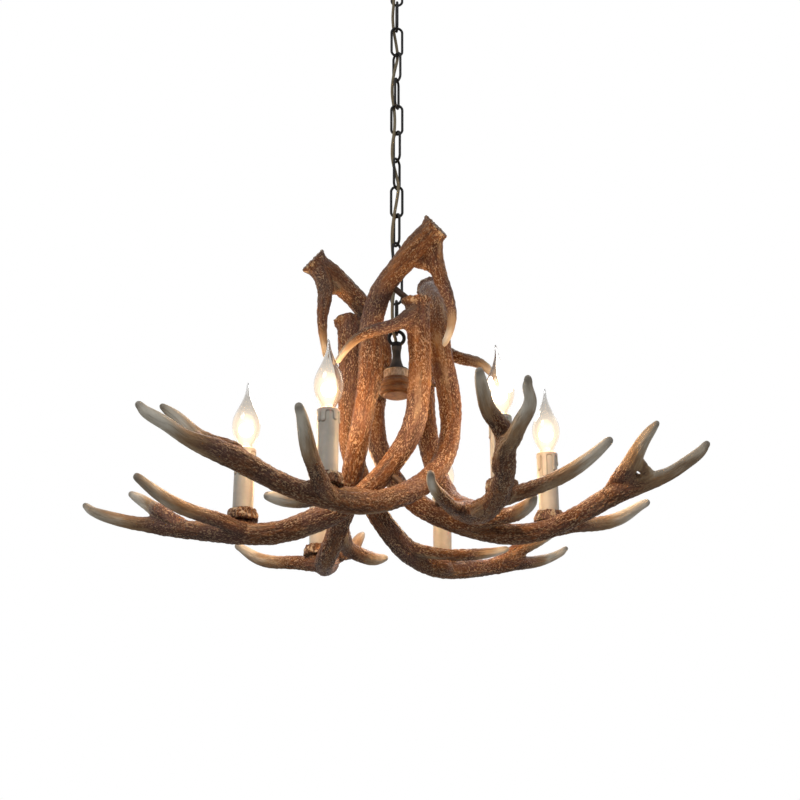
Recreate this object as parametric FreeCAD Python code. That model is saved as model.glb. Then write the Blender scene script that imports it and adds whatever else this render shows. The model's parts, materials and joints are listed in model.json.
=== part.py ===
import FreeCAD, Part
import math
import os

# Antler chandelier: six cast-resin antlers ring a turned hub that hangs on a link chain.
# Millimetres, +Z up. The origin is the middle of the canopy's rim, in the ceiling plane.
# The front of the light is -Y. A turn is counted from the front towards +X.

os.makedirs("parts", exist_ok=True)
V = FreeCAD.Vector
UP = V(0, 0, 1)
ORIGIN = V(0, 0, 0)

# ceiling set
bracket_length = 92.0
bracket_width = 18.0
bracket_thickness = 2.0
bracket_end_gap = 4.8
canopy_wall = 1.2
canopy_radius = bracket_length / 2 + bracket_end_gap + canopy_wall
canopy_height = 26.0
canopy_flat_radius = 17.0
bracket_screw_spacing = 66.0
bracket_slot_length = 14.0
bracket_slot_width = 5.0
nipple_radius = 5.0
nipple_bore = 3.2
nipple_length = 31.0
nipple_nut_across = 14.0
nipple_nut_height = 3.5
thread_clearance = 0.05

# eye loops at the two ends of the chain
loop_mean_radius = 9.7
loop_wire = 4.6
loop_boss_radius = 6.7
loop_boss_drop = 7.2
collar_radius = 12.0
collar_height = 8.0
canopy_loop_turn = 90.0

# chain, with how far each link faces away from the front, from the ceiling down
link_wire = 3.5
link_length = 49.8
link_width = 18.6
link_gap = 0.05
link_turns = [5, 95, 8, -50, 72, 3, -57, 60, 0, -62, 48, -25, 85]

# supply cord
cord_diameter = 4.2
cord_end_drop = 62.0

# hub, with heights counted down from the middle of its eye loop
neck_top_drop = 10.0
neck_top_radius = 6.7
neck_waist_drop = 26.0
neck_waist_radius = 5.4
neck_foot_drop = 43.0
neck_foot_radius = 10.4
neck_base_radius = 15.2
neck_base_height = 3.4
hub_collar_radius = 16.5
hub_collar_height = 10.6
hub_flute_count = 40
hub_flute_radius = 0.8
hub_body_step_radius = 17.8
hub_body_step_height = 5.0
hub_ring_radius = 22.0
hub_ring_height = 6.6
hub_groove_depth = 2.4
hub_wall = 4.0
hub_cap_radius = 16.5
hub_cap_height = 2.4
hub_rod_radius = 4.8
hub_rod_bore = 2.9
stack_gap = 0.1

# antlers: x, y, height above the hub's underside and radius of each section, with the
# candle on the front side
burr_radius = 19.6
burr_rim = 1.6
burr_depth = 17.0
# each limb ends this far short of its tip, at this share of the radius before, and a blunt
# cap goes on to the tip: shares of that radius and heights from the tip
tip_length = 6.5
tip_share = 0.74
tip_curve = [(0.70, -9.0), (0.71, -6.5), (0.60, -2.6), (0.42, -0.8), (0.22, 0.0)]
pad_radius = 13.0
pad_depth = 14.0
lean_start = 100.0
lean_height = 96.0
sweep_start = 60.0
sweep_length = 290.0
tall_limbs = {
    "beam": [
        (21, 111.5, 197.5, 15.6), (25, 101.5, 189.5, 16.4), (30, 82.5, 177.5, 16.4),
        (37, 61, 161, 14.2), (48, 31, 128.5, 14.3), (53, 16.5, 73.5, 14.5), (60, 24.5, 15, 15.0),
        (65.5, 20.5, -35.5, 13.6), (63, -0.5, -88, 13.0), (49.5, -35.5, -128, 13.9),
        (32, -81, -155, 13.7), (12, -130, -173, 13.1), (-14, -179.5, -174.5, 12.4),
        (-47.5, -217.5, -163.5, 11.7), (-74.5, -252, -147.5, 13.0), (-98.5, -288.5, -137, 11.2),
        (-112, -311, -131.5, 8.2), (-124, -329, -121.5, 7.6), (-137.5, -342.5, -112.5, 6.5),
        (-146.5, -351.5, -102, 1.8),
    ],
    "fork": [
        (-76, -250, -147, 11.3), (-102.5, -260.5, -127.5, 10.2), (-124, -267.5, -117, 10.2),
        (-136.5, -274.5, -103, 8.2), (-149, -283, -90.5, 6.2), (-158.5, -290, -82.5, 1.8),
    ],
    "outer tine": [
        (-6.5, -168.5, -174, 10.7), (1, -212, -165.5, 9.9), (10.5, -243, -160.5, 9.1),
        (19.5, -274, -153, 8.9), (28, -302.5, -137.5, 7.2), (33.5, -327, -122, 1.8),
    ],
    "inner tine": [
        (38, -66, -146, 10.5), (23, -84, -157.5, 10.5), (-4.5, -116.5, -158.5, 10.7),
        (-31.5, -137.5, -160.5, 9.9), (-63.5, -143.5, -164, 9.2), (-83.5, -151, -161, 7.6),
        (-100, -153.5, -156, 1.8),
    ],
    "brow tine": [
        (20.5, 104, 186.5, 12.8), (15, 98.5, 170.5, 11.1), (4, 94, 142.5, 9.8), (-9, 96, 112, 8.0),
        (-13.5, 95.5, 78.5, 5.5), (-5, 90.5, 48, 1.8),
    ],
}
# webs in the crotches, from the beam to the fork, outer, inner and brow tine in turn
tall_webs = [
    [(-92, -279, -140, 9.6), (-98.5, -270.5, -133, 9.2), (-105, -262, -126.5, 9.2)],
    [(-102.5, -295, -135.5, 7.9), (-113.5, -281.5, -125.5, 7.1), (-124.5, -268, -116, 7.9)],
    [(-28.5, -196, -169.5, 9.2), (-14.5, -200, -168.5, 7.7), (-0.5, -203.5, -167, 7.8)],
    [(18, -115.5, -167.5, 10.1), (10, -112, -163, 8.3), (2.5, -108.5, -158, 8.3)],
    [(34, 70, 167.5, 10.5), (20.5, 83, 158, 8.5), (7, 95, 149.5, 8.1)],
]
short_limbs = {
    "beam": [
        (63, 16, 116, 15.0), (60.5, 18, 100, 15.1), (58.5, 19.5, 74, 14.6), (57, 21, 30, 14.0),
        (57.5, 19, -11, 14.2), (59.5, 12.5, -51, 13.9), (55.5, -7, -90, 13.0),
        (49.5, -33.5, -123.5, 13.2), (41.5, -65.5, -150, 14.0), (34, -103.5, -168, 14.9),
        (22, -143, -180, 13.7), (7.5, -185.5, -180, 13.2), (-12, -225.5, -173.5, 12.4),
        (-34.5, -259.5, -165.5, 11.6), (-55.5, -289.5, -156.5, 10.6), (-63.5, -311.5, -153, 8.9),
        (-71, -329, -148.5, 8.5), (-77.5, -349.5, -142, 7.8), (-88.5, -369, -133, 6.1),
        (-103.5, -384, -119.5, 1.8),
    ],
    "fork": [
        (-26, -247, -168.5, 10.6), (-46, -274.5, -152, 11.3), (-65.5, -291.5, -135.5, 10.2),
        (-84.5, -298, -126, 8.9), (-98.5, -308.5, -115.5, 8.0), (-110.5, -319.5, -106, 6.6),
        (-121, -330, -97.5, 1.6),
    ],
    "outer tine": [
        (18, -145, -180, 10.3), (5, -172, -181, 10.1), (24, -205, -173, 9.2),
        (38, -233.5, -167.5, 8.5), (49, -262.5, -160, 8.3), (60, -290.5, -146.5, 7.2),
        (69.5, -314.5, -130.5, 1.8),
    ],
    "inner tine": [
        (40, -76, -155, 10.0), (35, -96.5, -163, 9.9), (7.5, -114.5, -172, 8.5),
        (-15.5, -131, -174, 7.8), (-38.5, -148, -173, 7.6), (-61.5, -165.5, -169, 6.4),
        (-80, -186, -161, 1.8),
    ],
    "brow tine": [
        (61, 18.5, 103, 11.7), (72, 3.5, 86, 9.9), (83, -19.5, 68, 8.4), (91.5, -45, 55, 7.5),
        (95.5, -69.5, 36, 5.3), (96, -87.5, 9.5, 1.8),
    ],
}
short_webs = [
    [(-58.5, -298, -155, 7.6), (-60.5, -293.5, -146.5, 7.1), (-62.5, -289, -138, 8.1)],
    [(-3, -207, -176.5, 9.7), (9, -204, -175, 7.6), (21.5, -201.5, -174, 7.3)],
    [(27.5, -124.5, -174.5, 10.5), (18.5, -119, -173, 7.7), (9, -113, -171.5, 6.7)],
    [(58, 19.5, 69, 10.5), (66.5, 8, 75, 8.0), (75, -3, 81, 7.4)],
]
antler_patterns = {"tall": (tall_limbs, tall_webs), "short": (short_limbs, short_webs)}
# each antler in turn, as it was set by hand: its pattern, its turn about the chain in
# degrees, its lift, how far its burr end leans and its outer end is swept, and where its
# candle stands on it
antler_seats = [
    ("tall", -23.6, -4.2, V(-16, -7, 0), V(1.4, 0.5, 0), V(-11.5, -167.5, -156)),
    ("short", 33.8, -1.8, V(0, 0, 0), V(0, 0, 0), V(18, -187, -165)),
    ("tall", 94.7, -1.4, V(-4, -0.6, 0), V(0.9, -0.7, 3.3), V(0, -190.5, -157.5)),
    ("short", 154.9, -5.1, V(0, 0, -6), V(7.2, 0.8, 4.2), V(18, -184.5, -164)),
    ("tall", 216.9, -8.2, V(-0.5, -0.3, -0.9), V(3.7, -0.9, -3.1), V(-6.5, -183, -159)),
    ("short", 278.5, -7.9, V(0, 0, 0), V(17.2, 0, -6.8), V(9, -188, -162.5)),
]

# joining hardware, with the point of each pattern's beam that it goes into
stud_radius = 2.5
stud_height = hub_cap_height + stack_gap + 1.5 * hub_ring_height + hub_groove_depth
stud_reach = 6.0
stud_beam_point = {"tall": V(60, 24.5, stud_height), "short": V(57.2, 20.3, stud_height)}
studded_antlers = [1, 2, 3, 4]
screw_radius = 2.0
spacer_radius = 4.0
screw_past_middle = 2.0
screw_clearance = 0.05
burr_point = {"tall": V(44.5, 40.5, 139), "short": V(61, 18, 106)}
crossing_point = {"tall": V(42, -55, -140), "short": V(52.5, -21, -107.5)}

# candles
cup_radius = 19.5
cup_foot_radius = 14.5
cup_height = 14.0
cup_wall = 2.4
cup_floor = 3.0
sleeve_radius = 12.5
sleeve_wall = 1.2
sleeve_length = 87.0
candle_nipple_length = 26.0
candle_nipple_bite = 14.0
holder_radius = 10.9
holder_foot_radius = 8.0
holder_foot_length = 26.0
holder_top_gap = 1.5
holder_bore_radius = 7.1
holder_bore_depth = 24.0
bulb_cap_radius = 6.8
bulb_cap_length = 21.0
bulb_cap_thread = 0.5
bulb_cap_turns = 5
bulb_seat_gap = 2.0
bulb_radius = 17.5
bulb_length = 88.0
bulb_wall = 0.7
bulb_neck_radius = 8.0


def turned(shape, degrees, lift=0.0):
    """The shape turned about the light's axis and lifted."""
    placed = shape.copy()
    placed.rotate(ORIGIN, UP, degrees)
    placed.translate(V(0, 0, lift))
    return placed


def cylinder(radius, height, base=ORIGIN, direction=UP):
    return Part.makeCylinder(radius, height, base, direction)


def cylinder_between(start, end, radius):
    return Part.makeCylinder(radius, start.distanceToPoint(end), start, end.sub(start))


def revolved(outline):
    """A solid of revolution about Z from radius and height pairs, joined by lines."""
    points = [V(radius, 0, height) for radius, height in outline]
    wire = Part.makePolygon(points + points[:1])
    return Part.Face(wire).revolve(ORIGIN, UP, 360)


def revolved_smooth(lower, curve, upper):
    """A solid of revolution whose side is one smooth curve between two sets of corners."""
    side = Part.BSplineCurve()
    side.interpolate([V(radius, 0, height) for radius, height in curve])
    before = [V(radius, 0, height) for radius, height in lower] + [side.StartPoint]
    after = [side.EndPoint] + [V(radius, 0, height) for radius, height in upper]
    edges = [side.toShape(), Part.makeLine(after[-1], before[0])]
    for chain in (before, after):
        edges += [Part.makeLine(a, b) for a, b in zip(chain, chain[1:])]
    wire = Part.Wire(Part.__sortEdges__(edges))
    return Part.Face(wire).revolve(ORIGIN, UP, 360)


# ---- chain heights, worked out from the ceiling down ----
link_mean_length = link_length - link_wire
link_pitch = link_mean_length - link_wire - link_gap
seat_drop = (loop_wire + link_wire) / 2 + link_gap
canopy_loop_z = -(canopy_height + collar_height + loop_boss_drop)
first_link_top = canopy_loop_z - loop_mean_radius + seat_drop
link_tops = [first_link_top - index * link_pitch for index in range(len(link_turns))]
last_link_bottom = link_tops[-1] - link_mean_length
hub_loop_z = last_link_bottom + seat_drop - loop_mean_radius

# ---- hub heights ----
neck_base_z = hub_loop_z - neck_foot_drop - neck_base_height
hub_collar_top = neck_base_z - stack_gap
hub_body_top = hub_collar_top - hub_collar_height - stack_gap
hub_rings_top = hub_body_top - hub_body_step_height
hub_body_bottom = hub_rings_top - 2 * hub_ring_height - hub_groove_depth
hub_cap_top = hub_body_bottom - stack_gap
hub_underside = hub_cap_top - hub_cap_height


def eye_loop(boss_below):
    """A ring on a drilled boss. The boss is below the ring on the hub and above it on the canopy."""
    ring = Part.makeTorus(loop_mean_radius, loop_wire / 2, ORIGIN, V(0, 1, 0))
    reach = loop_mean_radius + loop_wire / 2
    boss = cylinder(loop_boss_radius, reach - loop_boss_drop + 1.0, V(0, 0, -reach - 1.0))
    loop = ring.fuse(boss)
    return loop if boss_below else loop.mirror(ORIGIN, UP)


def make_canopy():
    rim = canopy_radius
    flat = canopy_flat_radius
    top = [(rim, 0), (rim, -3), (rim - 5, -9), (rim - 15, -17), (flat + 8, -23)]
    outer = top + [(flat, -canopy_height), (nipple_radius + 0.3, -canopy_height)]
    inner = [(radius - canopy_wall, height + canopy_wall) for radius, height in reversed(top[1:])]
    floor_z = -canopy_height + canopy_wall
    hollow = [(nipple_radius + 0.3, floor_z), (flat - 0.4, floor_z)] + inner
    return revolved(outer + hollow + [(rim - canopy_wall, 0)])


def make_bracket():
    low = V(-bracket_length / 2, -bracket_width / 2, -bracket_thickness)
    plate = Part.makeBox(bracket_length, bracket_width, bracket_thickness, low)
    deep = bracket_thickness + 2
    straight = bracket_slot_length - bracket_slot_width
    for side in (-1, 1):
        middle = side * bracket_screw_spacing / 2
        slot = Part.makeBox(straight, bracket_slot_width, deep,
                            V(middle - straight / 2, -bracket_slot_width / 2, -deep + 1))
        for end in (-1, 1):
            centre = V(middle + end * straight / 2, 0, -deep + 1)
            slot = slot.fuse(cylinder(bracket_slot_width / 2, deep, centre))
        plate = plate.cut(slot)
    return plate.cut(cylinder(nipple_radius + thread_clearance, deep, V(0, 0, -deep + 1)))


def make_nipple():
    tube = cylinder(nipple_radius, nipple_length, V(0, 0, -nipple_length))
    return tube.cut(cylinder(nipple_bore, nipple_length + 2, V(0, 0, -nipple_length - 1)))


def make_nipple_nut():
    corner = nipple_nut_across / 2 / math.cos(math.radians(30))
    points = [V(corner * math.cos(math.radians(60 * k)), corner * math.sin(math.radians(60 * k)), 0)
              for k in range(7)]
    nut = Part.Face(Part.makePolygon(points)).extrude(V(0, 0, -nipple_nut_height))
    nut = nut.cut(cylinder(nipple_radius + thread_clearance, nipple_nut_height + 2,
                           V(0, 0, -nipple_nut_height - 1)))
    nut.translate(V(0, 0, -bracket_thickness - stack_gap))
    return nut


def make_canopy_loop():
    """The upper eye loop, on the round nut that screws on the nipple and holds the canopy up."""
    loop = turned(eye_loop(False), canopy_loop_turn, canopy_loop_z)
    nut_top = -canopy_height - stack_gap
    nut_bottom = canopy_loop_z + loop_boss_drop
    nut = cylinder(collar_radius, nut_top - nut_bottom, V(0, 0, nut_bottom))
    nut = nut.makeFillet(1.0, [edge for edge in nut.Edges if len(edge.Vertexes) == 1])
    thread_low = -nipple_length - 0.3
    thread = cylinder(nipple_radius + thread_clearance, -thread_low, V(0, 0, thread_low))
    way = cylinder(nipple_bore, 60, V(0, 0, canopy_loop_z))
    return loop.fuse(nut).cut(thread).cut(way)


def make_link(turn, top):
    """One welded oval link. Its top and bottom are given on the wire's centre line."""
    wire = link_wire / 2
    bend = link_width / 2 - wire
    half_straight = link_mean_length / 2 - bend
    pieces = []
    for side in (-1, 1):
        section = Part.Face(Part.Wire(Part.makeCircle(wire, V(bend, 0, 0), UP)))
        bow = section.revolve(ORIGIN, V(0, side, 0), -180)
        bow.translate(V(0, 0, side * half_straight))
        bar = cylinder(wire, 2 * half_straight, V(side * bend, 0, -half_straight))
        pieces += [bar, bow]
    link = pieces[0].fuse(pieces[1:]).removeSplitter()
    return turned(link, turn, top - link_mean_length / 2)


def make_hub_loop():
    loop = turned(eye_loop(True), 0, hub_loop_z)
    boss_end = hub_loop_z - loop_mean_radius - loop_wire / 2 - 1.0
    stem_end = hub_loop_z - neck_waist_drop
    stem = cylinder(hub_rod_radius - 0.6, boss_end - stem_end + 1, V(0, 0, stem_end))
    way = cylinder(hub_rod_bore, 60, V(0, 0, hub_loop_z - 60))
    return loop.fuse(stem).cut(way)


def make_hub_neck():
    """The dark turned neck, drilled for the loop's stem above and the hub rod below."""
    top = hub_loop_z - loop_mean_radius - loop_wire / 2 - 1.0 - stack_gap
    foot = hub_loop_z - neck_foot_drop
    side = [
        (neck_top_radius, top),
        (neck_waist_radius + 0.3, hub_loop_z - 18.5),
        (neck_waist_radius, hub_loop_z - neck_waist_drop),
        (neck_waist_radius + 1.4, hub_loop_z - 34.0),
        (neck_foot_radius, foot),
    ]
    lower = [(0, neck_base_z), (neck_base_radius, neck_base_z),
             (neck_base_radius, neck_base_z + neck_base_height * 0.6)]
    neck = revolved_smooth(lower, list(reversed(side)), [(0, top)])
    stem_end = hub_loop_z - neck_waist_drop - 0.2
    neck = neck.cut(cylinder(hub_rod_radius - 0.6 + thread_clearance, 40, V(0, 0, stem_end)))
    rod_top = hub_loop_z - neck_waist_drop - 2.0
    neck = neck.cut(cylinder(hub_rod_bore, 40, V(0, 0, rod_top - 36)))
    return neck.cut(cylinder(hub_rod_radius + thread_clearance, 40, V(0, 0, hub_rod_top - 40 + 0.2)))


hub_rod_top = neck_base_z + 12.0


def make_hub_collar():
    """The fluted bronze band."""
    collar = cylinder(hub_collar_radius, hub_collar_height, V(0, 0, hub_collar_top - hub_collar_height))
    flutes = []
    for index in range(hub_flute_count):
        angle = 2 * math.pi * index / hub_flute_count
        flutes.append(cylinder(
            hub_flute_radius, hub_collar_height - 2.0,
            V(hub_collar_radius * math.cos(angle), hub_collar_radius * math.sin(angle),
              hub_collar_top - hub_collar_height + 1.0)))
    collar = collar.cut(Part.makeCompound(flutes))
    return collar.cut(cylinder(hub_rod_radius + thread_clearance, 60, V(0, 0, hub_collar_top - 40)))


def make_hub_body():
    """The turned lower body: a step over two rings, hollow, with holes for the antler studs."""
    step = hub_body_step_radius
    ring = hub_ring_radius
    edge = 1.6
    outline = [(hub_rod_radius + thread_clearance, hub_body_top), (step - 0.8, hub_body_top),
               (step, hub_body_top - 0.8), (step, hub_rings_top)]
    z = hub_rings_top
    for _ in range(2):
        outline += [(ring - edge, z), (ring, z - edge), (ring, z - hub_ring_height + edge),
                    (ring - edge, z - hub_ring_height)]
        z -= hub_ring_height
        if z > hub_body_bottom + 1:
            outline += [(ring - hub_groove_depth, z), (ring - hub_groove_depth, z - hub_groove_depth)]
            z -= hub_groove_depth
    inner = step - hub_wall
    outline += [(inner, hub_body_bottom), (inner, hub_body_top - hub_wall),
                (hub_rod_radius + thread_clearance, hub_body_top - hub_wall)]
    body = revolved(outline)
    return body.cut(stud_holes())


def make_hub_cap():
    z = hub_cap_top
    low = hub_underside
    cap = revolved([(0, z), (hub_cap_radius, z), (hub_cap_radius, low + 1.0),
                    (hub_cap_radius - 1.0, low), (0, low)])
    boss = cylinder(7.5, 7.0, V(0, 0, z))
    cap = cap.fuse(boss)
    return cap.cut(cylinder(hub_rod_radius + thread_clearance, 20, V(0, 0, z)))


def make_hub_rod():
    """The threaded tube that clamps neck, collar, body and cap together. A side window lets wires out."""
    low = hub_cap_top + stack_gap
    rod = cylinder(hub_rod_radius, hub_rod_top - low, V(0, 0, low))
    rod = rod.cut(cylinder(hub_rod_bore, hub_rod_top - low, V(0, 0, low + 2)))
    window = Part.makeBox(20, 4.0, 6.0, V(-10, -2.0, hub_cap_top + 8.0))
    return rod.cut(window)


# ---- antlers ----

def tangents(points):
    steps = [b.sub(a) for a, b in zip(points, points[1:])]
    blended = [a.normalize().add(b.normalize()) for a, b in
               zip([V(step) for step in steps], [V(step) for step in steps[1:]])]
    return [V(t).normalize() for t in [steps[0]] + blended + [steps[-1]]]


def round_loft(sections):
    """A smooth solid through round sections, each square to the run."""
    points = [V(x, y, z) for x, y, z, _ in sections]
    runs = tangents(points)
    side = runs[0].cross(UP if abs(runs[0].z) < 0.9 else V(1, 0, 0)).normalize()
    wires = []
    for point, run, section in zip(points, runs, sections):
        side = side.sub(V(run).multiply(side.dot(run))).normalize()
        other = run.cross(side)
        circle = Part.Wire(Part.makeCircle(section[3]))
        circle.Placement = FreeCAD.Placement(point, FreeCAD.Rotation(side, other, run, "ZXY"))
        wires.append(circle)
    return Part.makeLoft(wires, True, False)


def limb(sections):
    """A tapering limb and the blunt cap at its tip."""
    tip = V(*sections[-1][:3])
    inward = V(*sections[-2][:3]).sub(tip).normalize()
    last_radius = sections[-2][3]
    end = tip.add(V(inward).multiply(tip_length))
    curve = [(share * last_radius, height) for share, height in tip_curve]
    cap = revolved_smooth([(0, curve[0][1])], curve, [(0, 0)])
    cap.Placement = FreeCAD.Placement(tip, FreeCAD.Rotation(UP, inward.negative()))
    return [round_loft(sections[:-1] + [(end.x, end.y, end.z, last_radius * tip_share)]), cap]


def burr(sections):
    """The beam's base: it flares to a thin rim round a slightly dished end."""
    beam = sections[0][3]
    flare = [(beam - 1.0, -burr_depth), (beam + 0.3, 0.65 * -burr_depth), (beam + 1.5, 0.38 * -burr_depth),
             (burr_radius - 0.9, -2 * burr_rim), (burr_radius, -burr_rim)]
    rim = [(burr_radius, burr_rim / 2), (burr_radius - 1.0, burr_rim), (burr_radius - 3.5, burr_rim / 2),
           (0, burr_rim / 4)]
    base = revolved_smooth([(0, -burr_depth)], flare, rim)
    end = V(*sections[0][:3])
    outward = end.sub(V(*sections[1][:3])).normalize()
    base.Placement = FreeCAD.Placement(end, FreeCAD.Rotation(UP, outward))
    return base


def set_by_hand(section, lean, sweep):
    """A section moved with the burr end's lean and the outer end's sweep, more the nearer it is."""
    x, y, height, radius = section
    shift = V(lean).multiply(max(0.0, (height - lean_start) / lean_height))
    shift = shift.add(V(sweep).multiply(max(0.0, (-y - sweep_start) / sweep_length)))
    return (x + shift.x, y + shift.y, height + shift.z, radius)


def make_antler(index):
    """One antler in its place: beam, tines and burr, with a flat pad under the candle cup."""
    pattern, turn, lift, lean, sweep, candle = antler_seats[index]
    limb_sections, web_sections = antler_patterns[pattern]
    limbs = {name: [set_by_hand(section, lean, sweep) for section in sections]
             for name, sections in limb_sections.items()}
    pieces = [piece for sections in limbs.values() for piece in limb(sections)]
    for sections in web_sections:
        pieces.append(round_loft([set_by_hand(section, lean, sweep) for section in sections]))
    pad_top = candle.sub(V(0, 0, cup_floor))
    pad = cylinder(pad_radius, pad_depth, pad_top.sub(V(0, 0, pad_depth)))
    antler = pieces[0].fuse(pieces[1:] + [burr(limbs["beam"]), pad])
    hole = cylinder(nipple_radius + thread_clearance, candle_nipple_bite + 40,
                    pad_top.sub(V(0, 0, candle_nipple_bite + 0.5)))
    notch = cylinder(cup_radius + 1, 40, pad_top)
    return turned(antler.cut(hole.fuse(notch)), turn, hub_underside + lift)


def seat(point, index):
    """A pattern's point as it lies on the antler with this number."""
    _, turn, lift, *_ = antler_seats[index]
    placed = FreeCAD.Rotation(UP, turn).multVec(point)
    return placed.add(V(0, 0, hub_underside + lift))


def stud_lines():
    """Each hub stud's ends: inside the hub's wall and inside the antler's beam."""
    lines = []
    for number in studded_antlers:
        index = number - 1
        pattern, _, lift, *_ = antler_seats[index]
        point = seat(stud_beam_point[pattern].sub(V(0, 0, lift)), index)
        run = V(point.x, point.y, 0).normalize()
        inside = V(run).multiply(hub_body_step_radius - hub_wall - 1.0)
        outside = V(point.x, point.y, 0).sub(V(run).multiply(stud_reach))
        z = V(0, 0, point.z)
        lines.append((index, inside.add(z), outside.add(z)))
    return lines


def stud_holes():
    return Part.makeCompound([cylinder_between(a, b, stud_radius + thread_clearance)
                              for _, a, b in stud_lines()])


def joint_lines():
    """Each antler-to-antler screw: the two antlers' numbers and their beams' middles there.

    Each short antler's burr is screwed to the tall antler before it, and each tall antler's
    beam to the short antler that it crosses.
    """
    lines = []
    for index, (pattern, *_) in enumerate(antler_seats):
        before = index - 1 if index else len(antler_seats) - 1
        points = burr_point if pattern == "short" else crossing_point
        before_pattern = antler_seats[before][0]
        lines.append((index, before, seat(points[pattern], index), seat(points[before_pattern], before)))
    return lines


def screw_ends(start, end, further=0.0):
    """A joint screw's two ends, each a little past the middle of its beam."""
    past = V(end.sub(start)).normalize().multiply(screw_past_middle + further)
    return start.sub(past), end.add(past)


def make_joint_screws(whole_antlers):
    """The joint screws, each with a spacer that fills the gap between its two antlers."""
    screws = []
    for index, before, start, end in joint_lines():
        shank = cylinder_between(*screw_ends(start, end), screw_radius)
        spacer = cylinder_between(start, end, spacer_radius)
        spacer = spacer.cut([whole_antlers[index], whole_antlers[before]])
        between = max(spacer.Solids, key=lambda solid: solid.Volume)
        screws.append(shank.fuse(between))
    return Part.makeCompound(screws)


def drilled(whole_antlers):
    """The antlers with the holes for their hub studs and joint screws."""
    antlers = list(whole_antlers)
    for index, inside, outside in stud_lines():
        end = outside.add(V(outside.x, outside.y, 0).normalize())
        antlers[index] = antlers[index].cut(cylinder_between(inside, end, stud_radius + thread_clearance))
    for index, before, start, end in joint_lines():
        hole = cylinder_between(*screw_ends(start, end, 1.0), screw_radius + screw_clearance)
        antlers[index] = antlers[index].cut(hole)
        antlers[before] = antlers[before].cut(hole)
    return [antler.Solids[0] for antler in antlers]


# ---- candles, modelled on the light's axis with the cup's floor at height 0 ----

def make_cup():
    foot = cup_foot_radius
    rim = cup_radius
    top = cup_height - cup_floor
    outline = [(0, -cup_floor), (foot, -cup_floor), (foot + 2.6, -cup_floor + 2.2),
               (rim, top * 0.45), (rim, top), (rim - cup_wall, top),
               (rim - cup_wall, top * 0.5), (foot, 0), (0, 0)]
    bore = cylinder(nipple_radius + thread_clearance, 20, V(0, 0, -10))
    return revolved(outline).cut(bore)


def make_sleeve():
    outer = cylinder(sleeve_radius, sleeve_length, V(0, 0, stack_gap))
    inner = cylinder(sleeve_radius - sleeve_wall, sleeve_length + 2, V(0, 0, -1))
    return outer.cut(inner)


def make_candle_nipple():
    low = -cup_floor - candle_nipple_bite
    return cylinder(nipple_radius, candle_nipple_length, V(0, 0, low))


def make_holder():
    """The lampholder: a foot that screws on the nipple, under the screw-shell body."""
    top = sleeve_length - holder_top_gap
    low = stack_gap
    body = cylinder(holder_radius, top - holder_foot_length, V(0, 0, holder_foot_length))
    holder = body.fuse(cylinder(holder_foot_radius, holder_foot_length - low, V(0, 0, low)))
    thread_depth = candle_nipple_length - candle_nipple_bite - cup_floor
    holder = holder.cut(cylinder(nipple_radius + thread_clearance, thread_depth + 0.5, V(0, 0, -0.2)))
    bore = cylinder(holder_bore_radius, holder_bore_depth, V(0, 0, top - holder_bore_depth + 0.01))
    return holder.cut(bore)


bulb_base_height = sleeve_length + bulb_seat_gap


def make_bulb_cap():
    """The screw cap, with its threads as rings and its contact at the bottom."""
    top = bulb_base_height - stack_gap
    low = top - bulb_cap_length
    root = bulb_cap_radius - bulb_cap_thread
    outline = [(0, low - 1.5), (2.5, low - 1.5), (root - 1.5, low), (root, low + 1.0)]
    pitch = (bulb_cap_length - 5.0) / bulb_cap_turns
    for index in range(bulb_cap_turns):
        z = low + 1.0 + index * pitch
        outline += [(bulb_cap_radius, z + pitch / 2), (root, z + pitch)]
    outline += [(bulb_cap_radius, top), (0, top)]
    return revolved(outline)


def bulb_outline(shrink):
    """The flame-shaped envelope's side, from its neck to its tip, drawn in by the wall."""
    base = bulb_base_height
    belly = bulb_radius - shrink
    neck = bulb_neck_radius - shrink
    tip = bulb_length - 2 * shrink
    return [(neck, base), (neck + 1.0, base + 0.05 * tip), (0.84 * belly, base + 0.17 * tip),
            (belly, base + 0.33 * tip), (0.83 * belly, base + 0.50 * tip),
            (0.47 * belly, base + 0.67 * tip), (0.21 * belly, base + 0.80 * tip),
            (0.11 * belly, base + 0.90 * tip), (0.05 * belly, base + 0.98 * tip)]


def make_bulb_glass():
    outer = bulb_outline(0)
    inner = bulb_outline(bulb_wall)
    shell = revolved_smooth([(0, outer[0][1])], outer, [(0, outer[-1][1])])
    return shell.cut(revolved_smooth([(0, inner[0][1] - 1)], inner, [(0, inner[-1][1])]))


def at_candle(shape, index):
    """A candle piece set on the antler with this number."""
    _, turn, lift, *_, candle = antler_seats[index]
    placed = shape.copy()
    placed.translate(candle)
    return turned(placed, turn, hub_underside + lift)


# ---- supply cord ----

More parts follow.
